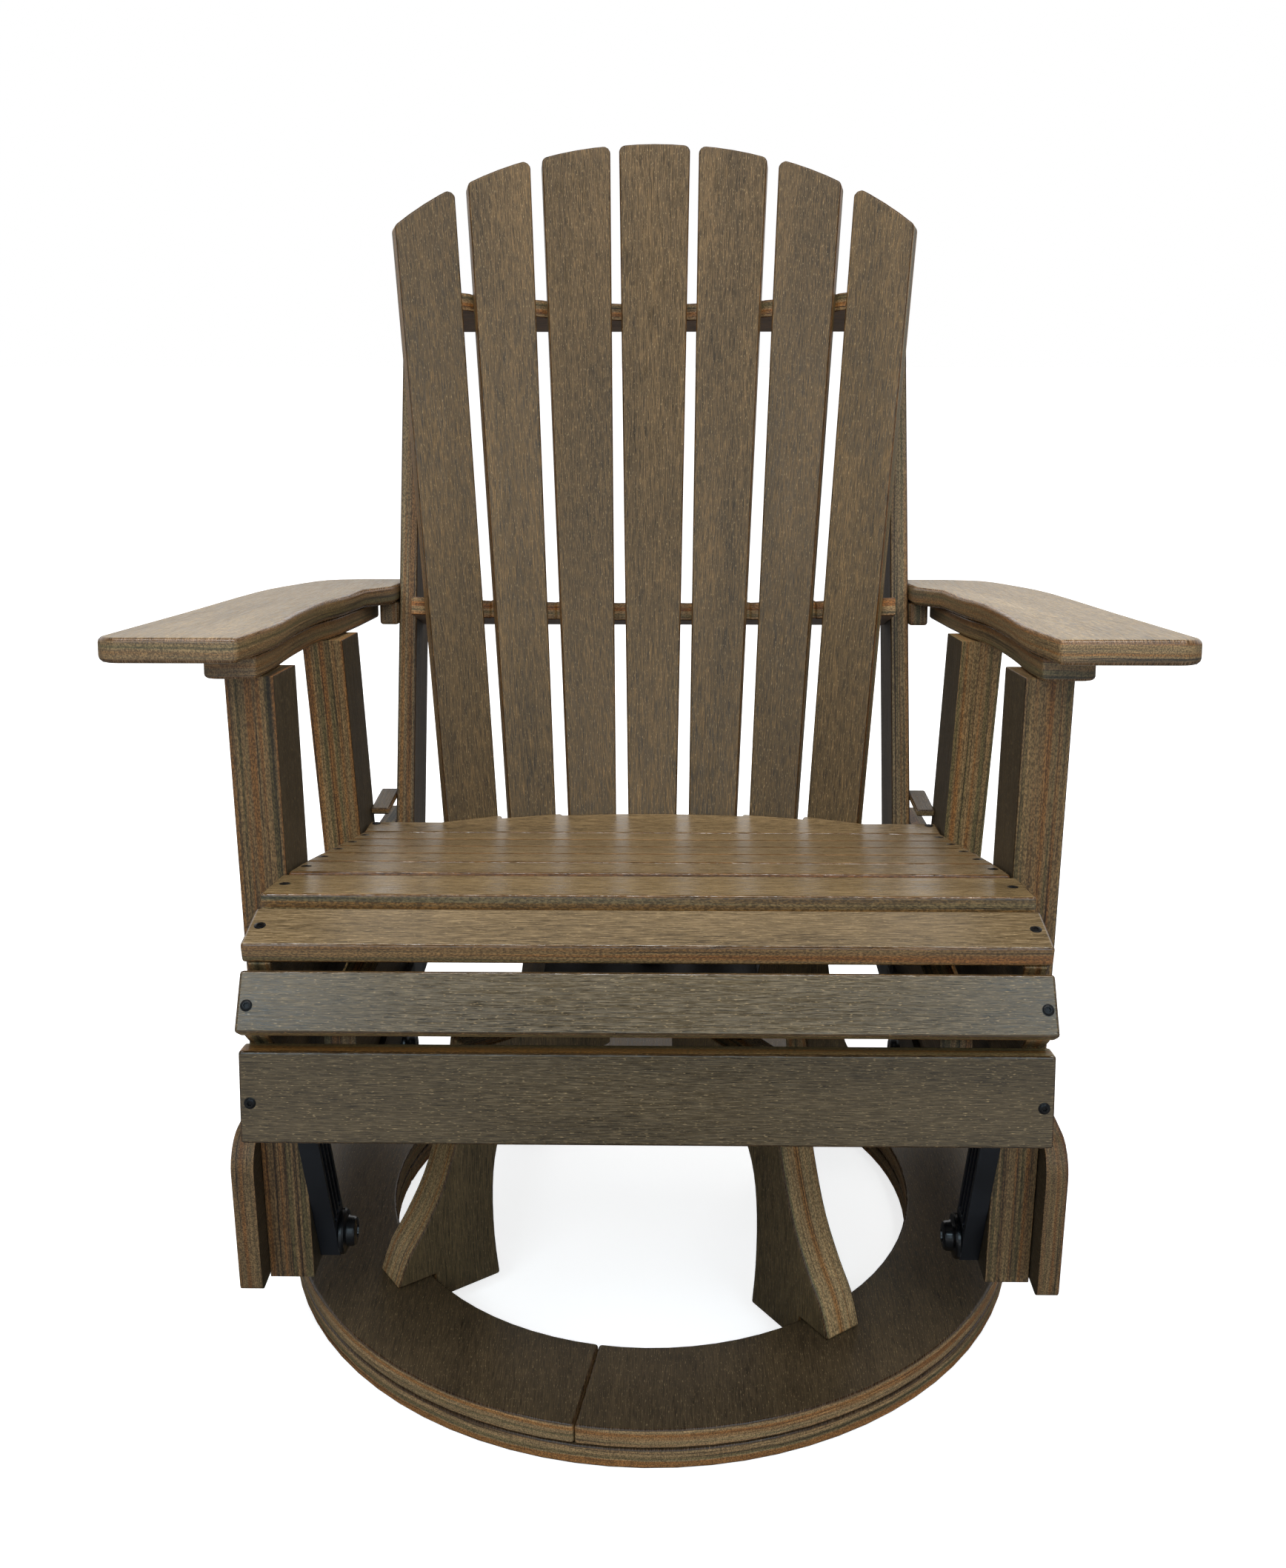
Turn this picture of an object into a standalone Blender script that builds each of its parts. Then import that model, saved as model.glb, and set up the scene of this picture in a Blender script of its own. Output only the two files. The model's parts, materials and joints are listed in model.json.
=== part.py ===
"""Swivel glider: a fan-back chair of poly-lumber boards, hung on four swing arms over a swivelling ring base.

Metres, +Z up, the chair faces -Y. The origin is on the floor, on the swivel's axis.
"""

import math

import bmesh
import bpy
from mathutils import Matrix, Vector

# Stock and fits
BOARD = 0.019
SEAT_BOARD = 0.0159
POST_WIDTH = 0.0381
POST_DEPTH = 0.070
FIT = 0.0003
BOLT_PLAY = 0.0006
OVERRUN = 0.01
ARC_STEPS = 8

# Ring base: two layers of board, each of two halves
RING_RADIUS = 0.3556
RING_WIDTH = 0.0986
RING_STEPS = 40
BASE_TURN_DEG = -9.5
RING_INNER = RING_RADIUS - RING_WIDTH
RING_TOP = 2 * BOARD + FIT

# Legs: curved brackets that sit on the ring and reach in under the swivel plate
LEG_COUNT = 4
LEG_REACH = 0.293
LEG_TOP = 0.255
LEG_FOOT_LIFT = 0.0127
LEG_OUTER_SHARES = (
    (0.960, 0.262), (0.904, 0.352), (0.838, 0.482), (0.788, 0.640), (0.750, 0.808), (0.724, 1.0),
)
LEG_INNER_SHARES = (
    (0.205, 1.0), (0.205, 0.845), (0.380, 0.815), (0.510, 0.762), (0.590, 0.690),
    (0.636, 0.580), (0.655, 0.420), (0.654, 0.220), (0.640, 0.0498),
)

# Swivel: a base plate on the legs, a ball race, and the welded top frame
PLATE_SIDE = 0.2032
PLATE_THICKNESS = 0.0048
RACE_RADIUS = 0.082
RACE_HEIGHT = 0.012
SPINDLE_RADIUS = 0.011
TOP_PLATE_DEPTH = 0.250
TUBE_DEPTH = 0.038
TUBE_HEIGHT = 0.020
TUBE_SPREAD = 0.222
END_PLATE_HEIGHT = 0.045
END_PLATE_THICKNESS = 0.005
END_PLATE_DEPTH = 0.060

# Glider linkage, in the side view: pivots at the feet of the posts, swing arms up to the glider frame
FRONT_PIVOT_Y = -0.202
REAR_PIVOT_Y = 0.133
PIVOT_Z = 0.112
SWING_ARM_LENGTH = 0.1778
FRONT_ARM_LEAN_DEG = 19.5
REAR_ARM_LEAN_DEG = 11.0
SWING_ARM_THICKNESS = 0.017
SWING_BOSS_RADIUS = 0.0205
SWING_WAIST_RADIUS = 0.0155
SWING_WEB_START_SHARE = 1.4
BOLT_RADIUS = 0.005
BOLT_HEAD_RADIUS = 0.0105
BOLT_HEAD_HEIGHT = 0.004
CAP_RADIUS = 0.012
CAP_HEIGHT = 0.012
STUD_SHOULDER_RADIUS = 0.009
STUD_END_COVER = 0.003
OPEN_PIVOT_PLAY = 0.0028

# Glider frame: a board on each side with a steel hanger bar inside it
FRAME_BOARD_THICKNESS = 0.0254
FRAME_BOARD_OUTER = 0.254
FRAME_END_MARGIN = 0.030
FRAME_BELOW_PIVOT = 0.024
FRAME_FRONT_TOP = 0.366
FRAME_REAR_TOP = 0.308
FRAME_SLOPE_FRONT_Y = -0.10
FRAME_SLOPE_REAR_Y = 0.06
FRAME_CORNER_RADIUS = 0.020
HANGER_THICKNESS = 0.005
HANGER_HEIGHT = 0.038
HANGER_MARGIN = 0.020

# Posts, in the side view
POST_INNER = 0.289
POST_FOOT_Z = 0.090
FRONT_POST_Y = -0.237
REAR_POST_FOOT_Y = 0.098
REAR_POST_LEAN_DEG = 9.5

# Low side boards that tie the feet of the posts
LOW_BOARD_BOTTOM = 0.093
LOW_BOARD_HEIGHT = 0.141
LOW_BOARD_FRONT_OVERHANG = 0.025
LOW_BOARD_REAR_OVERHANG = 0.030
LOW_BOARD_TOP_RADIUS = 0.028
LOW_BOARD_BOTTOM_RADIUS = 0.007

# Arms: paddles on sub-rails, on a plane that drops to the rear
ARM_SLOPE_DEG = 7.0
ARM_REFERENCE_Y = -0.28
ARM_REFERENCE_Z = 0.672
ARM_LENGTH = 0.605
ARM_OUTER = 0.3985
ARM_CORNER_RADIUS = 0.018
ARM_FRONT_LEAD = 0.0335
# Shares of the reach from the upright's face to ARM_OUTER, then of ARM_LENGTH from the arm's front
ARM_INNER_SHARES = (
    (0.178, 0.0), (0.153, 0.158), (0.206, 0.320), (0.228, 0.487), (0.178, 0.594), (0.157, 0.750),
)
ARM_OUTER_SHARES = ((0.975, 0.340), (0.963, 0.690), (0.860, 0.850), (0.705, 0.965), (0.380, 1.0))
SUB_RAIL_WIDTH = 0.043
SUB_RAIL_INSET = 0.006
SUB_RAIL_SETBACK = 0.045
SUB_RAIL_CORNER_RADIUS = 0.012
SUB_RAIL_REAR_SHARE = 0.92
CLEAT_HEIGHT = 0.024
CLEAT_WIDTH = 0.020
CLEAT_LENGTH = 0.078

# Seat slats that lie between the posts, from the front to the back
SEAT_SIDE_CLEARANCE = 0.0015
SEAT_HALF_WIDTH = POST_INNER - SEAT_SIDE_CLEARANCE
SEAT_FRONT_Y = -0.2376
SEAT_FRONT_Z = 0.4670
SEAT_SLAT_WIDTH = 0.0557
SEAT_SLAT_GAP = 0.0048
SEAT_SLAT_ANGLES_DEG = (13.4, 14.8, 15.2, 14.8, 14.4, 2.6)
REAR_SLAT_WIDTH = 0.0640
BOW_CLEARANCE = 0.0012

# Slats in front of the posts, each by its rear or upper edge, its width and its fall to the front
NOSE_OVERHANG = 0.0025
NOSE_HALF_WIDTH = POST_INNER + NOSE_OVERHANG
LIP_REAR_Y = -0.2425
LIP_REAR_Z = 0.4664
LIP_WIDTH = 0.0664
LIP_FALL_DEG = -9.6
BREAST_REAR_Y = -0.3195
BREAST_REAR_Z = 0.4712
BREAST_WIDTH = 0.0496
BREAST_FALL_DEG = 8.6
KNEE_TOP_Y = -0.3727
KNEE_TOP_Z = 0.4458
KNEE_WIDTH = 0.0445
KNEE_FALL_DEG = 54.8
SKIRT_TOP_Y = -0.3922
SKIRT_TOP_Z = 0.3917
SKIRT_WIDTH = 0.0690
SKIRT_FALL_DEG = 81.0

# Stringers under the seat slats
STRINGER_THICKNESS = 0.0185
STRINGER_REAR_Y = 0.205
STRINGER_REAR_TOP_Z = 0.366
STRINGER_BOTTOM_Z = 0.331
STRINGER_FRONT_BOTTOM_Z = 0.336
STRINGER_FRONT_BOTTOM_Y = -0.335

# Back: the fan of slats, leaning back, bowed to the front
BACK_FOOT_Y = 0.1275
BACK_FOOT_Z = 0.385
RECLINE_DEG = 19.4
SLATS_EACH_SIDE = 3
FOOT_PITCH = 0.0622
HEAD_PITCH = 0.0812
HEAD_HEIGHT = 0.610
FOOT_BOW_RADIUS = 0.95
RAIL_BOW_RADIUS = 0.57
SLAT_FOOT_WIDTHS = (0.0506, 0.0497, 0.0490, 0.0545)
SLAT_HEAD_WIDTHS = (0.0728, 0.0706, 0.0664, 0.0664)
SLAT_FOOT_DROP = 0.050
CREST_HEIGHT = 0.7180
CREST_RADIUS = 0.3686
SLAT_CORNER_RADIUS = 0.007

# Rails behind the slats: height up the back, and how far they reach behind the slats' front faces
UPPER_RAIL_UP = 0.5396
MIDDLE_RAIL_UP = 0.2145
LOWER_RAIL_UP = -0.0360
RAIL_REACH = 0.060
RAIL_JOG = 0.0012

# Uprights at the sides of the back
UPRIGHT_OUTER = 0.2697
UPRIGHT_FRONT_OFFSET = 0.0114
UPRIGHT_DEPTH = 0.078
UPRIGHT_FOOT_DROP = 0.030
UPRIGHT_HEAD_MARGIN = 0.0264
UPRIGHT_HEAD_UP = UPPER_RAIL_UP + UPRIGHT_HEAD_MARGIN
TIE_BLOCK_FRONT_Y = 0.101
TIE_BLOCK_LENGTH = 0.064
TIE_BLOCK_BOTTOM_Z = 0.3925
TIE_BLOCK_HEIGHT = 0.0070

SIDES = (("left", -1), ("right", 1))


def clear_scene():
    for obj in list(bpy.data.objects):
        bpy.data.objects.remove(obj, do_unlink=True)


def new_collection(name, hidden=False):
    collection = bpy.data.collections.new(name)
    bpy.context.scene.collection.children.link(collection)
    collection.hide_render = hidden
    return collection


def make_material(name, color, roughness, metallic=0.0):
    material = bpy.data.materials.new(name)
    material.use_nodes = True
    shader = material.node_tree.nodes["Principled BSDF"]
    shader.inputs["Base Color"].default_value = (*color, 1.0)
    shader.inputs["Roughness"].default_value = roughness
    shader.inputs["Metallic"].default_value = metallic
    material.diffuse_color = (*color, 1.0)
    return material


def file_under(obj, collection):
    for other in list(obj.users_collection):
        other.objects.unlink(obj)
    collection.objects.link(obj)


def add_empty(name, location, parent=None):
    """An empty on a joint's axis. What is attached to it keeps its place in the world."""
    empty = bpy.data.objects.new(name, None)
    part.objects.link(empty)
    empty.location = location
    bpy.context.view_layer.update()
    if parent is not None:
        attach(empty, parent)
    return empty


def attach(obj, parent):
    bpy.context.view_layer.update()
    obj.parent = parent
    obj.matrix_parent_inverse = parent.matrix_world.inverted()
    bpy.context.view_layer.update()


def finish(obj, name, material, parent):
    obj.name = name
    obj.data.name = name
    obj.data.materials.clear()
    obj.data.materials.append(material)
    file_under(obj, part)
    attach(obj, parent)
    return obj


def add_box(name, size, center, material, parent, turn=None):
    """A board or bar with square ends. turn is its world rotation."""
    bpy.ops.mesh.primitive_cube_add(size=1)
    box = bpy.context.object
    box.data.transform(Matrix.Diagonal((*size, 1)))
    box.matrix_world = Matrix.Translation(center) @ (turn or Matrix.Identity(3)).to_4x4()
    return finish(box, name, material, parent)


def cylinder_mesh(radius, start, end, steps=24):
    """A cylinder along X from start to end, as a loose object for Booleans and joins."""
    bpy.ops.mesh.primitive_cylinder_add(vertices=steps, radius=radius, depth=end - start)
    rod = bpy.context.object
    rod.rotation_euler = (0, math.pi / 2, 0)
    rod.location = ((start + end) / 2, 0, 0)
    bpy.ops.object.transform_apply(location=True, rotation=True, scale=True)
    return rod


def outline_mesh(points, thickness):
    """A closed flat outline in local XY, extruded by half the thickness to each side, as a mesh object."""
    curve = bpy.data.curves.new("outline", "CURVE")
    curve.dimensions = "2D"
    curve.fill_mode = "BOTH"
    curve.extrude = thickness / 2
    spline = curve.splines.new("POLY")
    spline.points.add(len(points) - 1)
    for corner, (x, y) in zip(spline.points, points):
        corner.co = (x, y, 0, 1)
    spline.use_cyclic_u = True
    guide = bpy.data.objects.new("outline", curve)
    bpy.context.scene.collection.objects.link(guide)
    bpy.context.view_layer.update()
    graph = bpy.context.evaluated_depsgraph_get()
    mesh = bpy.data.meshes.new_from_object(guide.evaluated_get(graph))
    bpy.data.objects.remove(guide, do_unlink=True)
    bpy.data.curves.remove(curve)
    weld(mesh)
    board = bpy.data.objects.new("board", mesh)
    bpy.context.scene.collection.objects.link(board)
    return board


def weld(mesh):
    """Joins a curve's caps to its sides."""

    shape = bmesh.new()
    shape.from_mesh(mesh)
    bmesh.ops.remove_doubles(shape, verts=shape.verts, dist=OVERRUN / 1000)
    bmesh.ops.recalc_face_normals(shape, faces=shape.faces)
    shape.to_mesh(mesh)
    shape.free()


def side_view(x=0.0):
    """Places an outline of (Y, Z) points in the plane X = x, its thickness along X."""
    turn = Matrix(((0, 0, 1), (1, 0, 0), (0, 1, 0))).to_4x4()
    return Matrix.Translation((x, 0, 0)) @ turn


def add_board(name, points, thickness, place, material, parent, cutters=()):
    """A flat board cut to an outline, with any holes bored by cutters."""
    board = outline_mesh(points, thickness)
    board.matrix_world = place
    finish(board, name, material, parent)
    for cutter in cutters:
        bore = board.modifiers.new("bore", "BOOLEAN")
        bore.operation = "DIFFERENCE"
        bore.solver = "EXACT"
        bore.object = cutter
    return board


def add_drill(name, radius, y, z, start, end):
    """A hidden cutter along X."""
    drill = cylinder_mesh(radius, start, end)
    drill.name = name
    drill.location = (0, y, z)
    drill.display_type = "WIRE"
    drill.hide_render = True
    file_under(drill, cutting_tools)
    return drill


def fuse(base, others):
    """Joins solids that overlap into base, by exact Boolean unions that are then applied."""
    for other in others:
        union = base.modifiers.new("fuse", "BOOLEAN")
        union.operation = "UNION"
        union.solver = "EXACT"
        union.object = other
        bpy.context.view_layer.objects.active = base
        bpy.ops.object.modifier_apply(modifier=union.name)
        bpy.data.objects.remove(other, do_unlink=True)
    return base


def arc(center, radius, start_deg, end_deg, steps=ARC_STEPS):
    """Points on an arc, both ends included."""
    points = []
    for step in range(steps + 1):
        angle = math.radians(start_deg + (end_deg - start_deg) * step / steps)
        points.append((center[0] + radius * math.cos(angle), center[1] + radius * math.sin(angle)))
    return points


def rounded(points, radii, steps=4):
    """The closed outline with each corner replaced by an arc of its radius (0 keeps it sharp)."""
    made = []
    for index, corner in enumerate(points):
        radius = radii[index]
        here = Vector(corner)
        if radius == 0:
            made.append(tuple(here))
            continue
        back = (Vector(points[index - 1]) - here).normalized()
        ahead = (Vector(points[(index + 1) % len(points)]) - here).normalized()
        half = back.angle(ahead) / 2
        center = here + (back + ahead).normalized() * (radius / math.sin(half))
        first = here + back * (radius / math.tan(half)) - center
        last = here + ahead * (radius / math.tan(half)) - center
        for step in range(steps + 1):
            spoke = first.lerp(last, step / steps).normalized() * radius
            made.append(tuple(center + spoke))
    return made


def smooth(points, steps=3):
    """A Catmull-Rom curve through the points, for the sawn curves."""
    made = []
    count = len(points)
    for index in range(count - 1):
        p0 = Vector(points[max(index - 1, 0)])
        p1 = Vector(points[index])
        p2 = Vector(points[index + 1])
        p3 = Vector(points[min(index + 2, count - 1)])
        for step in range(steps):
            t = step / steps
            spot = 2 * p1 + (p2 - p0) * t + (2 * p0 - 5 * p1 + 4 * p2 - p3) * t**2
            spot += (3 * p1 - p0 - 3 * p2 + p3) * t**3
            made.append(tuple(spot / 2))
    made.append(tuple(points[-1]))
    return made


def ring_half(name, seam_deg, layer_bottom):
    """Half of one ring layer, from a seam round to the opposite seam."""
    gap_deg = math.degrees(FIT / RING_INNER) / 2
    start = seam_deg + gap_deg
    end = seam_deg + 180 - gap_deg
    outline = arc((0, 0), RING_RADIUS, start, end, RING_STEPS)
    outline += arc((0, 0), RING_INNER, end, start, RING_STEPS)
    place = Matrix.Translation((0, 0, layer_bottom + BOARD / 2))
    return add_board(name, outline, BOARD, place, ring_wood, base)


def make_ring():
    lower_seam = BASE_TURN_DEG
    upper_seam = BASE_TURN_DEG + 90
    ring_half("ring_lower_rear", lower_seam, 0)
    ring_half("ring_lower_front", lower_seam + 180, 0)
    ring_half("ring_upper_left", upper_seam, BOARD + FIT)
    ring_half("ring_upper_right", upper_seam + 180, BOARD + FIT)


def leg_outline():
    """The leg in its own upright plane: distance from the swivel's axis, and height."""
    ring_seat = RING_TOP + FIT
    chord_share = math.cos(math.pi / RING_STEPS / 2)
    ring_face = math.sqrt((RING_INNER * chord_share) ** 2 - (POST_WIDTH / 2) ** 2) - FIT
    outer = [(LEG_REACH * r, LEG_TOP * z) for r, z in LEG_OUTER_SHARES]
    inner = [(LEG_REACH * r, LEG_TOP * z) for r, z in LEG_INNER_SHARES]
    inner[-1] = (inner[-1][0], LEG_FOOT_LIFT)
    tip = (LEG_REACH, ring_seat)
    foot = [(ring_face, LEG_FOOT_LIFT), (ring_face, ring_seat)]
    return smooth([tip] + outer) + [inner[0]] + smooth(inner[1:]) + foot


def make_legs():
    names = ("leg_rear_right", "leg_rear_left", "leg_front_left", "leg_front_right")
    for index, name in enumerate(names):
        turn = math.radians(BASE_TURN_DEG + 45 + index * 360 / LEG_COUNT)
        upright = Matrix.Rotation(turn, 4, "Z") @ Matrix.Rotation(math.pi / 2, 4, "X")
        add_board(name, leg_outline(), POST_WIDTH, upright, leg_wood, base)


def disc(radius, bottom, top, steps=48):
    bpy.ops.mesh.primitive_cylinder_add(vertices=steps, radius=radius, depth=top - bottom)
    plate = bpy.context.object
    plate.location = (0, 0, (bottom + top) / 2)
    bpy.ops.object.transform_apply(location=True, rotation=False, scale=False)
    return plate


def block(size, center):
    bpy.ops.mesh.primitive_cube_add(size=1)
    box = bpy.context.object
    box.data.transform(Matrix.Translation(center) @ Matrix.Diagonal((*size, 1)))
    return box


PLATE_BOTTOM = LEG_TOP + FIT
LOWER_RACE_TOP = PLATE_BOTTOM + PLATE_THICKNESS + RACE_HEIGHT
TOP_PLATE_BOTTOM = LOWER_RACE_TOP + FIT + RACE_HEIGHT
TUBE_BOTTOM = TOP_PLATE_BOTTOM + PLATE_THICKNESS
TUBE_TOP = TUBE_BOTTOM + TUBE_HEIGHT
FRAME_BOARD_INNER = FRAME_BOARD_OUTER - FRAME_BOARD_THICKNESS
HANGER_OUTER = FRAME_BOARD_INNER - FIT
HANGER_INNER = HANGER_OUTER - HANGER_THICKNESS
TUBE_END = HANGER_INNER - FIT


def make_swivel_base():
    """The base plate with its lower race and the spindle that the top frame turns on."""
    plate = block((PLATE_SIDE, PLATE_SIDE, PLATE_THICKNESS), (0, 0, PLATE_BOTTOM + PLATE_THICKNESS / 2))
    race = disc(RACE_RADIUS, PLATE_BOTTOM + PLATE_THICKNESS / 2, LOWER_RACE_TOP)
    spindle = disc(SPINDLE_RADIUS, PLATE_BOTTOM + PLATE_THICKNESS / 2, TUBE_BOTTOM + TUBE_HEIGHT / 2, 24)
    fuse(plate, (race, spindle))
    plate.rotation_euler = (0, 0, math.radians(BASE_TURN_DEG))
    finish(plate, "swivel_base_plate", steel, base)


def make_swivel_top():
    """The welded frame that turns on the race: plate, upper race, two cross tubes and their end plates."""
    plate_center = (0, 0, TOP_PLATE_BOTTOM + PLATE_THICKNESS / 2)
    frame = block((PLATE_SIDE, TOP_PLATE_DEPTH, PLATE_THICKNESS), plate_center)
    bore = disc(SPINDLE_RADIUS + BOLT_PLAY, 0, LEG_TOP + TUBE_TOP, 24)
    pieces = [disc(RACE_RADIUS, LOWER_RACE_TOP + FIT, TOP_PLATE_BOTTOM + PLATE_THICKNESS / 2)]
    for side in (-1, 1):
        tube_center = (0, side * TUBE_SPREAD / 2, TUBE_TOP - (TUBE_HEIGHT + PLATE_THICKNESS / 2) / 2)
        tube_size = (2 * TUBE_END - END_PLATE_THICKNESS, TUBE_DEPTH, TUBE_HEIGHT + PLATE_THICKNESS / 2)
        pieces.append(block(tube_size, tube_center))
        for end in (-1, 1):
            end_center = (
                end * (TUBE_END - END_PLATE_THICKNESS / 2),
                side * TUBE_SPREAD / 2,
                TUBE_TOP - END_PLATE_HEIGHT / 2 + PLATE_THICKNESS,
            )
            pieces.append(block((END_PLATE_THICKNESS, END_PLATE_DEPTH, END_PLATE_HEIGHT), end_center))
    fuse(frame, pieces)
    cut = frame.modifiers.new("bore", "BOOLEAN")
    cut.operation = "DIFFERENCE"
    cut.solver = "EXACT"
    cut.object = bore
    bpy.context.view_layer.objects.active = frame
    bpy.ops.object.modifier_apply(modifier=cut.name)
    bpy.data.objects.remove(bore, do_unlink=True)
    finish(frame, "swivel_top_frame", steel, swivel)


def arm_top(pivot_y, lean_deg):
    """The upper pivot of a swing arm whose lower pivot is at pivot_y. A positive lean carries it forward."""
    lean = math.radians(lean_deg)
    return (pivot_y - SWING_ARM_LENGTH * math.sin(lean), PIVOT_Z + SWING_ARM_LENGTH * math.cos(lean))


FRONT_TOP = arm_top(FRONT_PIVOT_Y, FRONT_ARM_LEAN_DEG)
REAR_TOP = arm_top(REAR_PIVOT_Y, -REAR_ARM_LEAN_DEG)
SWING_ARM_OUTER = POST_INNER - FIT
SWING_ARM_INNER = SWING_ARM_OUTER - SWING_ARM_THICKNESS


def swing_arm_outline(foot, head):
    """Two round bosses joined by a narrower web."""
    foot = Vector(foot)
    head = Vector(head)
    along = (head - foot).normalized()
    heading = math.degrees(math.atan2(along.y, along.x))
    across = Vector((-along.y, along.x)) * SWING_WAIST_RADIUS
    reach = along * SWING_BOSS_RADIUS * SWING_WEB_START_SHARE
    outline = arc(foot, SWING_BOSS_RADIUS, heading + 130, heading + 230, 12)
    outline += [tuple(foot + reach - across), tuple(head - reach - across)]
    outline += arc(head, SWING_BOSS_RADIUS, heading - 50, heading + 50, 12)
    outline += [tuple(head - reach + across), tuple(foot + reach + across)]
    return outline


def make_swing_arm(name, side, foot, head, foot_play, parent):
    middle = (SWING_ARM_OUTER + SWING_ARM_INNER) / 2
    reach = (side * (SWING_ARM_INNER - OVERRUN), side * (SWING_ARM_OUTER + OVERRUN))
    foot_drill = add_drill(name + "_foot_drill", BOLT_RADIUS + foot_play, *foot, min(reach), max(reach))
    blind_end = side * (SWING_ARM_OUTER - STUD_END_COVER + BOLT_PLAY)
    head_reach = (side * (SWING_ARM_INNER - OVERRUN), blind_end)
    head_hole = BOLT_RADIUS + BOLT_PLAY
    head_drill = add_drill(name + "_head_drill", head_hole, *head, min(head_reach), max(head_reach))
    outline = swing_arm_outline(foot, head)
    place = side_view(side * middle)
    add_board(name, outline, SWING_ARM_THICKNESS, place, arm_plastic, parent, (foot_drill, head_drill))


def make_swing_arms():
    for word, side in SIDES:
        front_foot = (FRONT_PIVOT_Y, PIVOT_Z)
        rear_foot = (REAR_PIVOT_Y, PIVOT_Z)
        make_swing_arm("swing_arm_front_" + word, side, front_foot, FRONT_TOP, BOLT_PLAY, front_arms)
        make_swing_arm("swing_arm_rear_" + word, side, rear_foot, REAR_TOP, OPEN_PIVOT_PLAY, rear_arms)


def make_glider_sides():
    """The side boards of the glider frame, and the steel bars whose studs carry the swing arms."""
    front = FRONT_TOP[0] - FRAME_END_MARGIN
    rear = REAR_TOP[0] + FRAME_END_MARGIN
    bottom = min(FRONT_TOP[1], REAR_TOP[1]) - FRAME_BELOW_PIVOT
    corners = [
        (front, bottom), (rear, bottom), (rear, FRAME_REAR_TOP), (FRAME_SLOPE_REAR_Y, FRAME_REAR_TOP),
        (FRAME_SLOPE_FRONT_Y, FRAME_FRONT_TOP), (front, FRAME_FRONT_TOP),
    ]
    radius = FRAME_CORNER_RADIUS
    outline = rounded(corners, (radius, radius, radius, 0, 0, radius))
    for word, side in SIDES:
        drills = []
        for spot, place in (("front", FRONT_TOP), ("rear", REAR_TOP)):
            reach = (side * (FRAME_BOARD_INNER - OVERRUN), side * (FRAME_BOARD_OUTER + OVERRUN))
            hole = STUD_SHOULDER_RADIUS + BOLT_PLAY
            drills.append(add_drill(f"frame_{word}_{spot}_drill", hole, *place, min(reach), max(reach)))
        middle = side * (FRAME_BOARD_INNER + FRAME_BOARD_OUTER) / 2
        name = "glider_frame_board_" + word
        add_board(name, outline, FRAME_BOARD_THICKNESS, side_view(middle), frame_wood, swivel, drills)
        make_hanger_bar(word, side)


def make_hanger_bar(word, side):
    rise = REAR_TOP[1] - FRONT_TOP[1]
    run = REAR_TOP[0] - FRONT_TOP[0]
    tilt = math.atan2(rise, run)
    length = math.hypot(rise, run) + 2 * HANGER_MARGIN
    bar = block((HANGER_THICKNESS, length, HANGER_HEIGHT), (0, 0, 0))
    middle_y = (FRONT_TOP[0] + REAR_TOP[0]) / 2
    middle_z = (FRONT_TOP[1] + REAR_TOP[1]) / 2
    place = Matrix.Translation((side * (HANGER_INNER + HANGER_OUTER) / 2, middle_y, middle_z))
    bar.data.transform(place @ Matrix.Rotation(tilt, 4, "X"))
    studs = []
    for y, z in (FRONT_TOP, REAR_TOP):
        middle = side * (HANGER_INNER + HANGER_OUTER) / 2
        shoulder_end = side * (SWING_ARM_INNER - FIT)
        stud_end = side * (SWING_ARM_OUTER - STUD_END_COVER)
        shoulder = cylinder_mesh(STUD_SHOULDER_RADIUS, min(middle, shoulder_end), max(middle, shoulder_end))
        stud = cylinder_mesh(BOLT_RADIUS, min(middle, stud_end), max(middle, stud_end))
        for rod in (shoulder, stud):
            rod.location = (0, y, z)
            studs.append(rod)
    fuse(bar, studs)
    finish(bar, "hanger_bar_" + word, steel, swivel)


POST_OUTER = POST_INNER + POST_WIDTH
LOW_BOARD_INNER = POST_OUTER + FIT
LOW_BOARD_OUTER = LOW_BOARD_INNER + BOARD


def under_arm(y):
    """Height of the underside of the sub-rail at y, less the fit."""
    slope = math.tan(math.radians(ARM_SLOPE_DEG))
    drop = (2 * BOARD + 2 * FIT) / math.cos(math.radians(ARM_SLOPE_DEG))
    return ARM_REFERENCE_Z - slope * (y - ARM_REFERENCE_Y) - drop


def pivot_drills(name, y, start, end):
    return [add_drill(name, BOLT_RADIUS + BOLT_PLAY, y, PIVOT_Z, start, end)]


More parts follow.
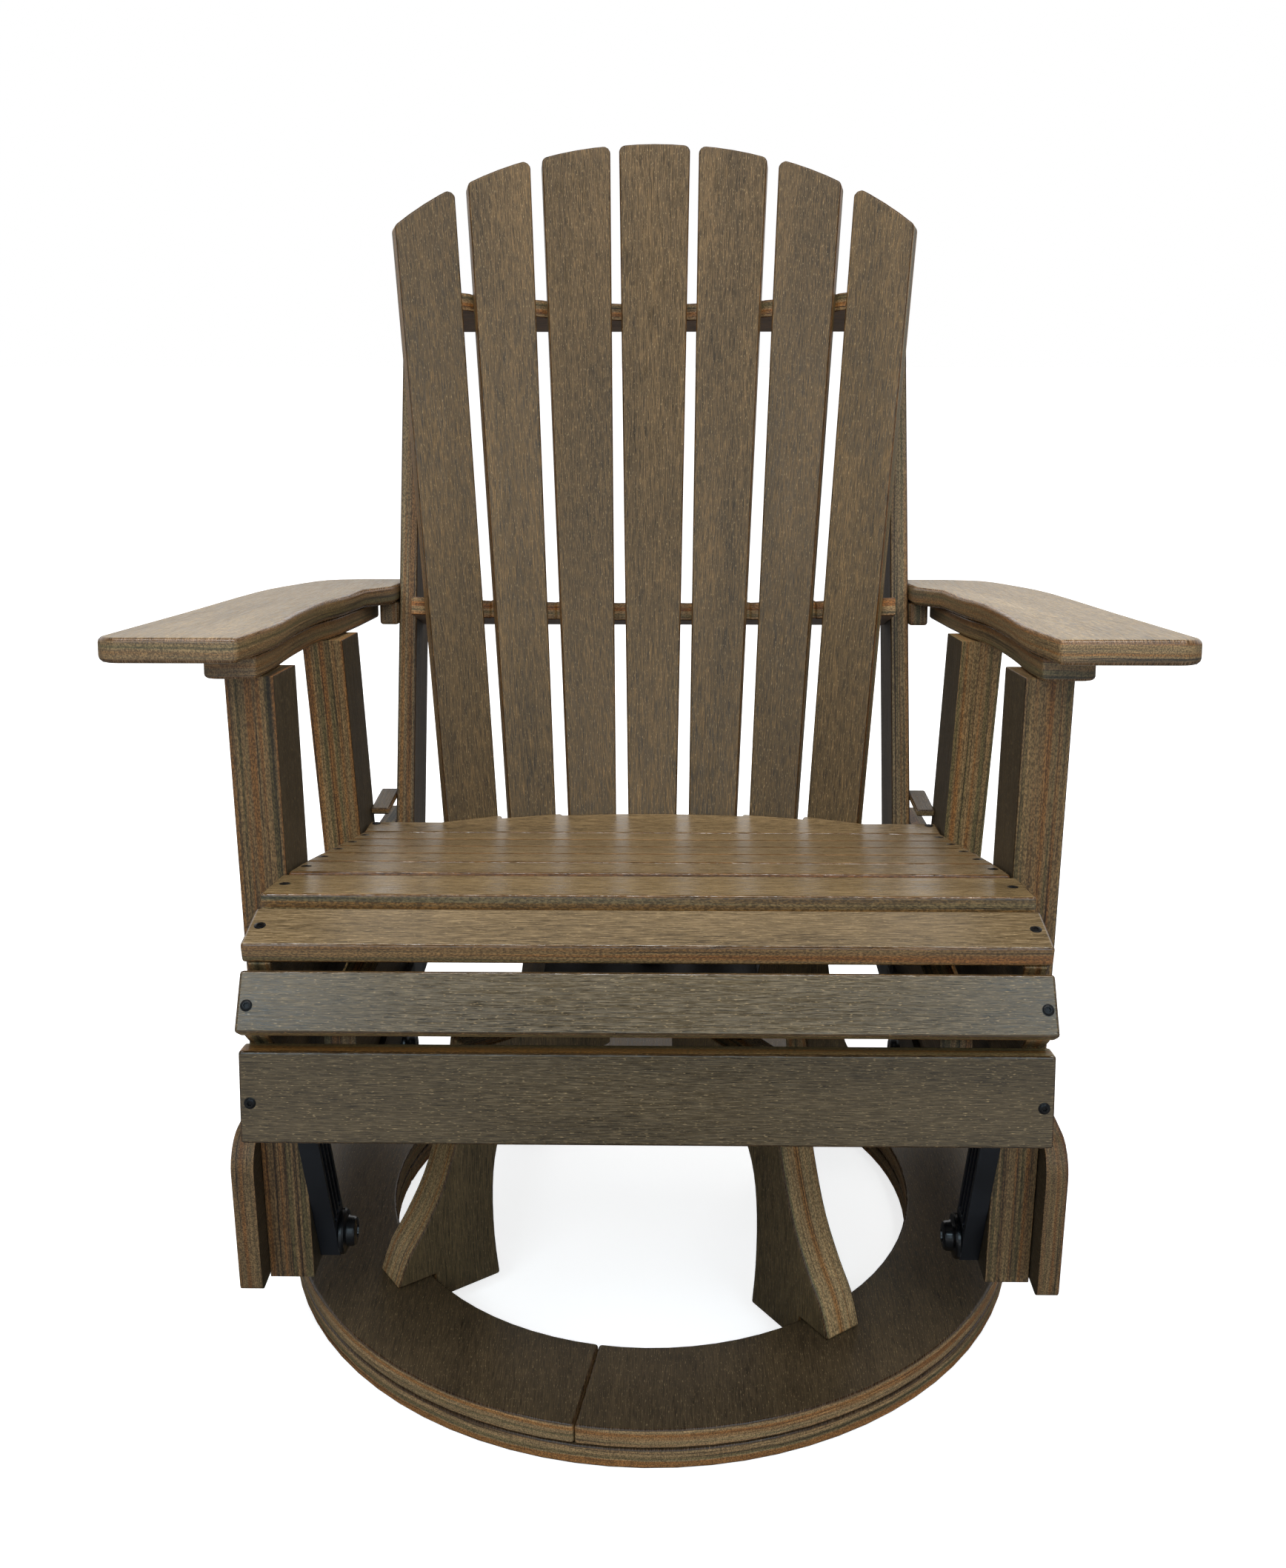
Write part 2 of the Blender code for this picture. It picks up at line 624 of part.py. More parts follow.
def make_posts():
    lean = math.tan(math.radians(REAR_POST_LEAN_DEG))
    depth = POST_DEPTH / math.cos(math.radians(REAR_POST_LEAN_DEG))
    front_outline = [
        (FRONT_POST_Y, POST_FOOT_Z), (FRONT_POST_Y + POST_DEPTH, POST_FOOT_Z),
        (FRONT_POST_Y + POST_DEPTH, under_arm(FRONT_POST_Y + POST_DEPTH)),
        (FRONT_POST_Y, under_arm(FRONT_POST_Y)),
    ]

    def rear_top(foot_y):
        slope = math.tan(math.radians(ARM_SLOPE_DEG))
        rise = (under_arm(foot_y) - POST_FOOT_Z) / (1 - slope * lean)
        return (foot_y - lean * rise, POST_FOOT_Z + rise)

    rear_outline = [
        (REAR_POST_FOOT_Y, POST_FOOT_Z), (REAR_POST_FOOT_Y + depth, POST_FOOT_Z),
        rear_top(REAR_POST_FOOT_Y + depth), rear_top(REAR_POST_FOOT_Y),
    ]
    middle = (POST_INNER + POST_OUTER) / 2
    for word, side in SIDES:
        reach = sorted((side * (POST_INNER - OVERRUN), side * (POST_OUTER + OVERRUN)))
        rows = (("front", front_outline, FRONT_PIVOT_Y), ("rear", rear_outline, REAR_PIVOT_Y))
        for spot, outline, y in rows:
            name = f"post_{spot}_{word}"
            drills = pivot_drills(name + "_drill", y, *reach)
            add_board(name, outline, POST_WIDTH, side_view(side * middle), post_wood, chair, drills)


def make_low_boards():
    front = FRONT_POST_Y - LOW_BOARD_FRONT_OVERHANG
    rear = REAR_POST_FOOT_Y + POST_DEPTH + LOW_BOARD_REAR_OVERHANG
    top = LOW_BOARD_BOTTOM + LOW_BOARD_HEIGHT
    corners = [(front, LOW_BOARD_BOTTOM), (rear, LOW_BOARD_BOTTOM), (rear, top), (front, top)]
    low, high = LOW_BOARD_BOTTOM_RADIUS, LOW_BOARD_TOP_RADIUS
    outline = rounded(corners, (low, low, high, high), 6)
    middle = (LOW_BOARD_INNER + LOW_BOARD_OUTER) / 2
    for word, side in SIDES:
        reach = sorted((side * (LOW_BOARD_INNER - OVERRUN), side * (LOW_BOARD_OUTER + OVERRUN)))
        drills = []
        for spot, y in (("front", FRONT_PIVOT_Y), ("rear", REAR_PIVOT_Y)):
            drills += pivot_drills(f"low_board_{word}_{spot}_drill", y, *reach)
        place = side_view(side * middle)
        add_board("low_side_board_" + word, outline, BOARD, place, post_wood, chair, drills)


def make_pivot_bolts():
    """Through side board, post and swing arm, with a flat head outside and a cap nut inside."""
    head_start = LOW_BOARD_OUTER + FIT
    cap_end = SWING_ARM_INNER - FIT
    for word, side in SIDES:
        for spot, y in (("front", FRONT_PIVOT_Y), ("rear", REAR_PIVOT_Y)):
            inner = side * (cap_end - CAP_HEIGHT / 2)
            outer = side * (head_start + BOLT_HEAD_HEIGHT / 2)
            bolt = cylinder_mesh(BOLT_RADIUS, min(inner, outer), max(inner, outer))
            head_reach = sorted((side * head_start, side * (head_start + BOLT_HEAD_HEIGHT)))
            cap_reach = sorted((side * (cap_end - CAP_HEIGHT), side * cap_end))
            fuse(bolt, (cylinder_mesh(BOLT_HEAD_RADIUS, *head_reach), cylinder_mesh(CAP_RADIUS, *cap_reach)))
            bolt.data.transform(Matrix.Translation((0, y, PIVOT_Z)))
            finish(bolt, f"pivot_bolt_{spot}_{word}", steel, chair)


def seat_profile():
    """Each seat slat between the posts as (front top corner, direction to the rear, width), front first."""
    spot = Vector((SEAT_FRONT_Y, SEAT_FRONT_Z))
    slats = []
    for angle_deg in SEAT_SLAT_ANGLES_DEG:
        angle = math.radians(angle_deg)
        rearward = Vector((math.cos(angle), -math.sin(angle)))
        slats.append((spot.copy(), rearward, SEAT_SLAT_WIDTH))
        spot += rearward * (SEAT_SLAT_WIDTH + SEAT_SLAT_GAP)
    slats[-1] = (*slats[-1][:2], REAR_SLAT_WIDTH)
    return slats


def nose_profile():
    """The slats in front of the posts: name, rear or upper corner, direction to the front, width, thickness."""
    rows = (
        ("seat_lip_slat", LIP_REAR_Y, LIP_REAR_Z, LIP_WIDTH, LIP_FALL_DEG, SEAT_BOARD),
        ("front_slat_upper", BREAST_REAR_Y, BREAST_REAR_Z, BREAST_WIDTH, BREAST_FALL_DEG, SEAT_BOARD),
        ("front_slat_lower", KNEE_TOP_Y, KNEE_TOP_Z, KNEE_WIDTH, KNEE_FALL_DEG, SEAT_BOARD),
        ("skirt_board", SKIRT_TOP_Y, SKIRT_TOP_Z, SKIRT_WIDTH, SKIRT_FALL_DEG, BOARD),
    )
    slats = []
    for name, y, z, width, fall_deg, thick in rows:
        fall = math.radians(fall_deg)
        slats.append((name, Vector((y, z)), Vector((-math.cos(fall), -math.sin(fall))), width, thick))
    return slats


def under_slat(corner, forward, thick):
    """The point below a top corner, through the slat's thickness and the fit."""
    inward = Vector((-forward.y, forward.x))
    return corner + inward * (thick + FIT)


def make_seat():
    for index, (corner, rearward, width) in enumerate(seat_profile()):
        below = Vector((rearward.y, -rearward.x))
        center = corner + rearward * width / 2 + below * SEAT_BOARD / 2
        turn = Matrix.Rotation(math.atan2(rearward.y, rearward.x), 3, "X")
        name = f"seat_slat_{index + 1}"
        if index == len(SEAT_SLAT_ANGLES_DEG) - 1:
            make_bowed_slat(name, center, turn, width)
            continue
        size = (2 * SEAT_HALF_WIDTH, width, SEAT_BOARD)
        add_box(name, size, (0, center.x, center.y), seat_wood, chair, turn)
    for name, corner, forward, width, thick in nose_profile():
        inward = Vector((-forward.y, forward.x))
        center = corner + forward * width / 2 + inward * thick / 2
        turn = Matrix.Rotation(math.atan2(-forward.y, -forward.x), 3, "X")
        add_box(name, (2 * NOSE_HALF_WIDTH, width, thick), (0, center.x, center.y), seat_wood, chair, turn)


def make_bowed_slat(name, center, turn, width):
    """The rearmost seat slat, its rear edge cut to follow the feet of the back slats."""
    bow_edge = []
    underside_z = center.y - SEAT_BOARD
    edge_y = BACK_FOOT_Y - math.tan(RECLINE) * (BACK_FOOT_Z - underside_z) - BOW_CLEARANCE
    for x, w in slat_line_points(0, front_face_at):
        y = edge_y - w / math.cos(RECLINE) - center.x
        bow_edge.append((x, min(y, width / 2)))
    corner_y = bow_edge[-1][1]
    outline = [(-SEAT_HALF_WIDTH, -width / 2), (SEAT_HALF_WIDTH, -width / 2), (SEAT_HALF_WIDTH, corner_y)]
    outline += bow_edge[::-1] + [(-SEAT_HALF_WIDTH, corner_y)]
    place = Matrix.Translation((0, center.x, center.y)) @ turn.to_4x4()
    add_board(name, outline, SEAT_BOARD, place, seat_wood, chair)


def make_stringers():
    """The contoured side members: their top edge is the underside of every slat in turn."""
    top = []
    for _, corner, forward, width, thick in nose_profile()[::-1]:
        far = corner + forward * width
        top.append(tuple(under_slat(far, forward, thick)))
        top.append(tuple(under_slat(corner, forward, thick)))
    for corner, rearward, width in seat_profile():
        top.append(tuple(under_slat(corner, -rearward, SEAT_BOARD)))
        top.append(tuple(under_slat(corner + rearward * width, -rearward, SEAT_BOARD)))
    rear = [(STRINGER_REAR_Y, STRINGER_REAR_TOP_Z), (STRINGER_REAR_Y, STRINGER_BOTTOM_Z)]
    outline = top + rear + [(STRINGER_FRONT_BOTTOM_Y, STRINGER_FRONT_BOTTOM_Z)]
    outer = POST_INNER - FIT
    middle = outer - STRINGER_THICKNESS / 2
    for word, side in SIDES:
        place = side_view(side * middle)
        add_board("stringer_" + word, outline, STRINGER_THICKNESS, place, frame_wood, chair)


RECLINE = math.radians(RECLINE_DEG)


def bow(x, radius):
    """How far a point at x comes forward on a bow of this radius."""
    return radius - math.sqrt(radius**2 - x**2)


def across_bow(count, pitch, radius):
    """How far across the bow the point this many pitches along it lies."""
    return radius * math.sin(count * pitch / radius)


def slat_line(index):
    """A back slat's foot and rail points as (across, up, forward), and the tangent of its turn."""
    up = UPPER_RAIL_UP
    rail_pitch = FOOT_PITCH + (HEAD_PITCH - FOOT_PITCH) * up / HEAD_HEIGHT
    foot_x = across_bow(index, FOOT_PITCH, FOOT_BOW_RADIUS)
    rail_x = across_bow(index, rail_pitch, RAIL_BOW_RADIUS)
    foot = Vector((foot_x, 0, bow(foot_x, FOOT_BOW_RADIUS)))
    rail = Vector((rail_x, up, bow(rail_x, RAIL_BOW_RADIUS)))
    middle_x = (foot_x + rail_x) / 2
    turn = middle_x / math.sqrt(RAIL_BOW_RADIUS**2 - middle_x**2)
    return foot, rail, turn


def slat_axes(index):
    """The slat's own directions in the back's frame: across it, up it, and out of its front face."""
    foot, rail, turn = slat_line(index)
    across = Vector((1, 0, turn)).normalized()
    climb = rail - foot
    upward = (climb - across * climb.dot(across)).normalized()
    return across, upward, across.cross(upward)


def front_face_at(index, x, up):
    """How far forward the plane of a slat's front face lies at (x, up)."""
    foot, rail, turn = slat_line(index)
    middle = foot + (rail - foot) * (up / UPPER_RAIL_UP)
    return middle.z + turn * (x - middle.x)


def rear_face_at(index, x, up):
    """The rear face there, less the fit and what the slat leans over a rail's thickness."""
    foot, rail, _ = slat_line(index)
    out = slat_axes(index)[2]
    lean = (rail.z - foot.z) / UPPER_RAIL_UP
    return front_face_at(index, x, up) - (BOARD + FIT) / out.z - lean * BOARD / 2


def slat_line_points(up, face_at):
    """Points along one face of the slats at a height up the back, with a small jog in each gap."""
    points = []
    last = SLATS_EACH_SIDE
    pitch = FOOT_PITCH + (HEAD_PITCH - FOOT_PITCH) * up / HEAD_HEIGHT
    radius = FOOT_BOW_RADIUS + (RAIL_BOW_RADIUS - FOOT_BOW_RADIUS) * up / UPPER_RAIL_UP
    for index in range(-last, last + 1):
        left = across_bow(index - 0.5, pitch, radius) + RAIL_JOG
        right = across_bow(index + 0.5, pitch, radius) - RAIL_JOG
        points.append((left, face_at(index, left, up)))
        points.append((right, face_at(index, right, up)))
    return points


def back_place():
    """The back's own frame: X across, Y up the recline, Z forward out of the slats."""
    return Matrix.Translation((0, BACK_FOOT_Y, BACK_FOOT_Z)) @ Matrix.Rotation(math.pi / 2 - RECLINE, 4, "X")


def make_back_slats():
    names = ("far_left", "left", "inner_left", "center", "inner_right", "right", "far_right")
    for index, word in zip(range(-SLATS_EACH_SIDE, SLATS_EACH_SIDE + 1), names):
        foot, rail, _ = slat_line(index)
        across, upward, out = slat_axes(index)
        climb = rail - foot
        axes = Matrix((across, upward, out)).transposed().to_4x4()
        place = back_place() @ Matrix.Translation(foot) @ axes
        drift = climb.dot(across) / climb.dot(upward)
        outline = slat_outline(index, foot, across, upward, drift)
        shift = Matrix.Translation((0, 0, -BOARD / 2))
        add_board("back_slat_" + word, outline, BOARD, place @ shift, back_wood, chair)


def slat_outline(index, foot, across, upward, drift):
    """The tapered slat in its own plane, its head cut to the crest's arc and its top corners rounded."""
    foot_width = SLAT_FOOT_WIDTHS[abs(index)]
    head_width = SLAT_HEAD_WIDTHS[abs(index)]
    crest_center = CREST_HEIGHT - CREST_RADIUS

    def edge(side, height):
        width = foot_width + (head_width - foot_width) * height / HEAD_HEIGHT
        return drift * height + side * width / 2

    def crest(side_share):
        """The height where the crest's arc crosses the slat at this share of its half width."""
        height = HEAD_HEIGHT
        for _ in range(12):
            a = edge(side_share, height)
            x = foot.x + across.x * a + upward.x * height
            rise = crest_center + math.sqrt(CREST_RADIUS**2 - x**2)
            height = (rise - foot.y - across.y * a) / upward.y
        return (edge(side_share, height), height)

    low = -SLAT_FOOT_DROP
    head = [crest(1.0), crest(0.5), crest(0.0), crest(-0.5), crest(-1.0)]
    corners = [(edge(-1, low), low), (edge(1, low), low)] + head
    radii = [0, 0, SLAT_CORNER_RADIUS, 0, 0, 0, SLAT_CORNER_RADIUS]
    return rounded(corners, radii)


def make_rails():
    """Flat boards across the back: front edge cut to the slats, rear edge straight."""
    end = UPRIGHT_OUTER - BOARD - FIT
    rows = (
        ("back_rail_upper", UPPER_RAIL_UP),
        ("back_rail_middle", MIDDLE_RAIL_UP),
        ("back_rail_lower", LOWER_RAIL_UP),
    )
    for name, up in rows:
        front = slat_line_points(up, rear_face_at)
        last = SLATS_EACH_SIDE
        front[0] = (-end, rear_face_at(-last, -end, up))
        front[-1] = (end, rear_face_at(last, end, up))
        outline = front + [(end, -RAIL_REACH), (-end, -RAIL_REACH)]
        place = back_place() @ Matrix.Translation((0, up, 0)) @ Matrix.Rotation(math.pi / 2, 4, "X")
        add_board(name, outline, BOARD, place, rail_wood, chair)


def make_uprights():
    """The raked side members of the back, and the blocks that tie them to the rear posts."""
    front = -UPRIGHT_FRONT_OFFSET
    rear = front - UPRIGHT_DEPTH
    outline = [
        (-UPRIGHT_FOOT_DROP, rear), (UPRIGHT_HEAD_UP, rear),
        (UPRIGHT_HEAD_UP, front), (-UPRIGHT_FOOT_DROP, front),
    ]
    turn = Matrix(((0, 0, 1), (1, 0, 0), (0, 1, 0))).to_4x4()
    for word, side in SIDES:
        place = back_place() @ Matrix.Translation((side * (UPRIGHT_OUTER - BOARD / 2), 0, 0)) @ turn
        add_board("upright_" + word, outline, BOARD, place, post_wood, chair)
        size = (STRINGER_THICKNESS, TIE_BLOCK_LENGTH, TIE_BLOCK_HEIGHT)
        center = (
            side * (POST_INNER - FIT - STRINGER_THICKNESS / 2),
            TIE_BLOCK_FRONT_Y + TIE_BLOCK_LENGTH / 2,
            TIE_BLOCK_BOTTOM_Z + TIE_BLOCK_HEIGHT / 2,
        )
        add_box("tie_block_" + word, size, center, post_wood, chair)


def arm_place(below):
    """The plane of the arms, this far under their top: X across, Y to the rear along the slope."""
    slope = math.radians(ARM_SLOPE_DEG)
    turn = Matrix.Rotation(-slope, 4, "X")
    reference = Matrix.Translation((0, ARM_REFERENCE_Y, ARM_REFERENCE_Z))
    return reference @ turn @ Matrix.Translation((0, 0, -below))


def mirrored(points, side):
    return [(side * x, y) for x, y in points][::side]


def make_arms():
    front = -ARM_FRONT_LEAD
    upright_face = UPRIGHT_OUTER + FIT
    reach = ARM_OUTER - upright_face
    inner = [(upright_face + reach * x, front + ARM_LENGTH * y) for x, y in ARM_INNER_SHARES]
    outer = [(upright_face + reach * x, front + ARM_LENGTH * y) for x, y in ARM_OUTER_SHARES]
    at_upright = inner[-1][1] + (inner[-1][0] - upright_face) * 2
    tail = (upright_face, front + ARM_LENGTH)
    outer_front = (ARM_OUTER, front + ARM_CORNER_RADIUS)
    corner = (ARM_OUTER - ARM_CORNER_RADIUS, front + ARM_CORNER_RADIUS)
    front_corners = arc(corner, ARM_CORNER_RADIUS, -90, 0, 5)
    outline = smooth(inner)[::-1] + front_corners + smooth([outer_front] + outer)[1:]
    outline += [tail, (upright_face, at_upright)]
    rail_inner = [(x + SUB_RAIL_INSET, y) for x, y in smooth(inner) if y > front + SUB_RAIL_SETBACK]
    rail_inner.append((rail_inner[-1][0], front + ARM_LENGTH * SUB_RAIL_REAR_SHARE))
    rail_outer = [(x + SUB_RAIL_WIDTH, y) for x, y in rail_inner]
    rail_corners = rail_inner[::-1] + rail_outer
    corner_at = len(rail_inner)
    radii = [0] * len(rail_corners)
    radii[corner_at] = SUB_RAIL_CORNER_RADIUS
    rail_outline = rounded(rail_corners, radii)
    for word, side in SIDES:
        place = arm_place(BOARD / 2)
        add_board("arm_" + word, mirrored(outline, side), BOARD, place, arm_wood, chair)
        rail_place = arm_place(BOARD + FIT + BOARD / 2)
        add_board("arm_sub_rail_" + word, mirrored(rail_outline, side), BOARD, rail_place, arm_wood, chair)
        cleat_center = Vector((
            side * (upright_face + CLEAT_WIDTH / 2),
            tail[1] - CLEAT_LENGTH / 2,
            -(BOARD + FIT + CLEAT_HEIGHT / 2),
        ))
        cleat_turn = arm_place(0)
        center = cleat_turn @ cleat_center
        size = (CLEAT_WIDTH, CLEAT_LENGTH, CLEAT_HEIGHT)
        add_box("arm_cleat_" + word, size, center, arm_wood, chair, cleat_turn.to_3x3())


clear_scene()
part = new_collection("swivel_glider")
cutting_tools = new_collection("cutting_tools", hidden=True)

seat_wood = make_material("seat_slat_board", (0.078, 0.058, 0.042), 0.42)
back_wood = make_material("back_slat_board", (0.072, 0.056, 0.044), 0.50)
arm_wood = make_material("arm_board", (0.085, 0.064, 0.048), 0.50)
post_wood = make_material("post_board", (0.080, 0.052, 0.032), 0.50)
rail_wood = make_material("rail_board", (0.065, 0.044, 0.030), 0.50)
frame_wood = make_material("frame_board", (0.055, 0.042, 0.031), 0.55)
leg_wood = make_material("leg_board", (0.060, 0.043, 0.028), 0.55)
ring_wood = make_material("ring_board", (0.046, 0.032, 0.023), 0.50)
steel = make_material("black_steel", (0.012, 0.012, 0.014), 0.35, 0.6)
arm_plastic = make_material("swing_arm_plastic", (0.012, 0.014, 0.020), 0.42)

base = add_empty("base", (0, 0, 0))
swivel = add_empty("swivel_axis", (0, 0, LOWER_RACE_TOP), base)
front_arms = add_empty("front_arm_axis", (0, *FRONT_TOP), swivel)
rear_arms = add_empty("rear_arm_axis", (0, *REAR_TOP), swivel)
chair = add_empty("seat_axis", (0, FRONT_PIVOT_Y, PIVOT_Z), front_arms)

make_ring()
make_legs()
make_swivel_base()
make_swivel_top()
make_glider_sides()
make_swing_arms()
make_posts()
make_low_boards()
make_pivot_bolts()
make_seat()
make_stringers()
make_back_slats()
make_rails()
make_uprights()
make_arms()
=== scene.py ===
"""Swivel glider in dark brown poly-lumber: the looks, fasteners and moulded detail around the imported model."""

import json
import math

import bmesh
import bpy
from mathutils import Matrix, Vector


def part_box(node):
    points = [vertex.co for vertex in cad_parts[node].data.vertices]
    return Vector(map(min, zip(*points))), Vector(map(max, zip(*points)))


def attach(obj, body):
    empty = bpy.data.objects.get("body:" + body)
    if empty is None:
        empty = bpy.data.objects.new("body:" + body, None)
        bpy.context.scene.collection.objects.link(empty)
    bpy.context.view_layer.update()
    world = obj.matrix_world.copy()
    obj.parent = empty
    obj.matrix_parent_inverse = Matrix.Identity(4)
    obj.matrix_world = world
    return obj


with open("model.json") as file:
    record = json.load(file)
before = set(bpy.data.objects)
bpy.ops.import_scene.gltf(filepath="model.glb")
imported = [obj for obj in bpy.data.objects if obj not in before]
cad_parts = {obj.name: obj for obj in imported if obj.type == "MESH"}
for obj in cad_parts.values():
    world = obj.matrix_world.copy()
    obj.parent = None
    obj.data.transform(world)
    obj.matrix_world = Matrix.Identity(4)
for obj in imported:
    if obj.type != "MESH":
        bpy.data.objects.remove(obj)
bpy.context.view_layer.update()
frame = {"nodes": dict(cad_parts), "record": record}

nodes = frame["nodes"]
slot_of_node = {row["node"]: row["material_slot"] for row in frame["record"]["subparts"]}

SIDES = (("left", -1), ("right", 1))
MM = 0.001


# ---- Shader trees

def srgb(red, green, blue):
    def linear(value):
        share = value / 255
        return share / 12.92 if share <= 0.04045 else ((share + 0.055) / 1.055) ** 2.4
    return (linear(red), linear(green), linear(blue), 1.0)


class Shader:
    """A node tree under construction. Each call adds a node and returns its output socket."""

    def __init__(self, tree):
        self.tree = tree

    def plug(self, socket, value):
        if isinstance(value, bpy.types.NodeSocket):
            self.tree.links.new(value, socket)
        elif value is not None:
            socket.default_value = value

    def add(self, kind, **settings):
        node = self.tree.nodes.new("ShaderNode" + kind)
        for name, value in settings.items():
            setattr(node, name, value)
        return node

    def math(self, operation, a, b=None, c=None):
        node = self.add("Math", operation=operation)
        for socket, value in zip(node.inputs, (a, b, c)):
            self.plug(socket, value)
        return node.outputs[0]

    def vector(self, operation, a, b=None, output=0):
        node = self.add("VectorMath", operation=operation)
        self.plug(node.inputs[0], a)
        self.plug(node.inputs[1], b)
        return node.outputs[output]

    def dot(self, a, b):
        return self.vector("DOT_PRODUCT", a, b, 1)

    def combine(self, x, y, z):
        node = self.add("CombineXYZ")
        for socket, value in zip(node.inputs, (x, y, z)):
            self.plug(socket, value)
        return node.outputs[0]

    def noise(self, at, detail=2.0, roughness=0.5, scale=1.0):
        node = self.add("TexNoise")
        self.plug(node.inputs["Vector"], at)
        node.inputs["Scale"].default_value = scale
        node.inputs["Detail"].default_value = detail
        node.inputs["Roughness"].default_value = roughness
        return node.outputs[0]

    def streaks(self, along, across, kind, depth=None):
        """Noise drawn out along a board, read at the depth given, or else at the depth that its kind names."""
        per_metre_along, per_metre_across, own_depth, detail, roughness = kind
        spot = self.combine(
            self.math("MULTIPLY", along, per_metre_along), self.math("MULTIPLY", across, per_metre_across),
            own_depth if depth is None else depth,
        )
        return self.noise(spot, detail, roughness)

    def remap(self, value, low, high, to_low=0.0, to_high=1.0):
        node = self.add("MapRange", interpolation_type="SMOOTHSTEP")
        self.plug(node.inputs["Value"], value)
        for name, number in (("From Min", low), ("From Max", high), ("To Min", to_low), ("To Max", to_high)):
            self.plug(node.inputs[name], number)
        return node.outputs[0]

    def mix(self, share, a, b, blend="MIX"):
        node = self.add("Mix", data_type="RGBA", blend_type=blend)
        self.plug(node.inputs[0], share)
        self.plug(node.inputs[6], a)
        self.plug(node.inputs[7], b)
        return node.outputs[2]

    def ramp(self, value, stops):
        node = self.add("ValToRGB")
        elements = node.color_ramp.elements
        while len(elements) < len(stops):
            elements.new(0.5)
        for element, (position, color) in zip(elements, stops):
            element.position = position
            element.color = color
        self.plug(node.inputs[0], value)
        return node.outputs[0]

    def bump(self, height, distance, strength=1.0, normal=None):
        node = self.add("Bump")
        node.inputs["Distance"].default_value = distance
        node.inputs["Strength"].default_value = strength
        self.plug(node.inputs["Height"], height)
        self.plug(node.inputs["Normal"], normal)
        return node.outputs[0]


def new_material(name, **values):
    """A Principled material: its name, and constants for the shader's own sockets."""
    material = bpy.data.materials.new(name)
    material.use_nodes = True
    tree = Shader(material.node_tree)
    principled = material.node_tree.nodes["Principled BSDF"]
    for socket, value in values.items():
        principled.inputs[socket.replace("_", " ")].default_value = value
    return material, tree, principled


# ---- Poly-lumber: embossed grain on the faces, layered stripes on the sawn and narrow edges

EMBOSS_DEPTH, EMBOSS_STRENGTH = 0.22 * MM, 0.6
STIPPLE_DEPTH, STIPPLE_STRENGTH = 0.12 * MM, 0.8

# Kinds of streaks: cells per metre along and across the board, depth read at, octaves of detail, roughness
WANDER = (4.0, 22.0, 0.0, 1.0, 0.5)
FINE = (80.0, 1450.0, None, 2.0, 0.65)
MEDIUM = (22.0, 620.0, 3.0, 2.0, 0.6)
BROAD = (3.2, 30.0, 7.0, 2.0, 0.5)
FLECKS = (260.0, 1200.0, 5.0, 1.0, 0.5)
HAIRS = (34.0, 1150.0, 11.0, 1.0, 0.5)
SWELL = (2.2, 9.0, 0.0, 2.0, 0.5)
RIPPLE = (14.0, 40.0, 2.0, 2.0, 0.5)

# How far the grain wanders sideways, and the edges' layers up and down, in metres
WANDER_REACH = 10 * MM
SWELL_REACH = 6 * MM
RIPPLE_REACH = 0.8 * MM

# The edges' layers and stipple: cells per metre along, across and through the board; hue has no cells across
LAYER_CELLS, LAYER_DETAIL, LAYER_ROUGHNESS = (1.8, 4.0, 420.0), 5.0, 0.78
HUE_CELLS, HUE_DEPTH, HUE_DETAIL = (0.9, 130.0), 4.0, 2.0
STIPPLE_CELLS, STIPPLE_DETAIL, STIPPLE_ROUGHNESS = (420.0, 900.0, 900.0), 1.0, 0.6

# A face's tone is this much of each kind of streak, less an offset: 0 is dark, 0.5 base, 1 light
BROAD_SHARE, MEDIUM_SHARE, FINE_SHARE, TONE_OFFSET = 0.6, 0.3, 2.1, 1.0

# How squarely a spot looks along the face normal: edge to face, then the two ends of the rounded rim
FACE_RANGE = (0.42, 0.72)
RIM_FACE_END = (0.97, 0.86)
RIM_EDGE_END = (0.22, 0.42)

# Ranges of a noise, and what their ends become when that isn't 0 and 1
DARK_HAIRS = (0.57, 0.68, 1.0, 0.66)
PALE_HAIRS = (0.40, 0.31, 0.0, 0.40)
FLECK_RANGE = (0.63, 0.74, 0.0, 0.5)
COOL_RANGE = (0.46, 0.38)
WARM_RANGE = (0.49, 0.60)
STIPPLE_RANGE = (0.36, 0.66, 0.60, 1.50)
GLOSS_RANGE = (0.38, 0.62, -0.07, 0.12)

FLECK_TAN = srgb(160, 136, 98)
STRIPES = (
    (0.32, srgb(30, 25, 19)), (0.41, srgb(64, 53, 38)), (0.47, srgb(112, 90, 61)),
    (0.53, srgb(86, 76, 55)), (0.59, srgb(126, 104, 72)), (0.69, srgb(60, 50, 36)),
)
WARM_GAIN, WARM_LIFT = srgb(252, 210, 158), srgb(24, 13, 5)
COOL_GAIN = srgb(196, 212, 208)
RIM_GAIN, RIM_SHARE, RIM_POLISH = srgb(200, 170, 146), 0.8, -0.20
EDGE_ROUGHER = 0.10
FINE_EMBOSS, MEDIUM_EMBOSS = 0.55, 0.9

LUMBER_INPUTS = (
    ("Grain", "NodeSocketVector"), ("Face", "NodeSocketVector"), ("Across", "NodeSocketVector"),
    ("Shift", "NodeSocketVector"), ("Dark", "NodeSocketColor"), ("Base", "NodeSocketColor"),
    ("Light", "NodeSocketColor"), ("Edge Tint", "NodeSocketColor"), ("Warm Edge", "NodeSocketFloat"),
    ("Roughness", "NodeSocketFloat"),
)
LUMBER_OUTPUTS = (("Color", "NodeSocketColor"), ("Roughness", "NodeSocketFloat"), ("Normal", "NodeSocketVector"))


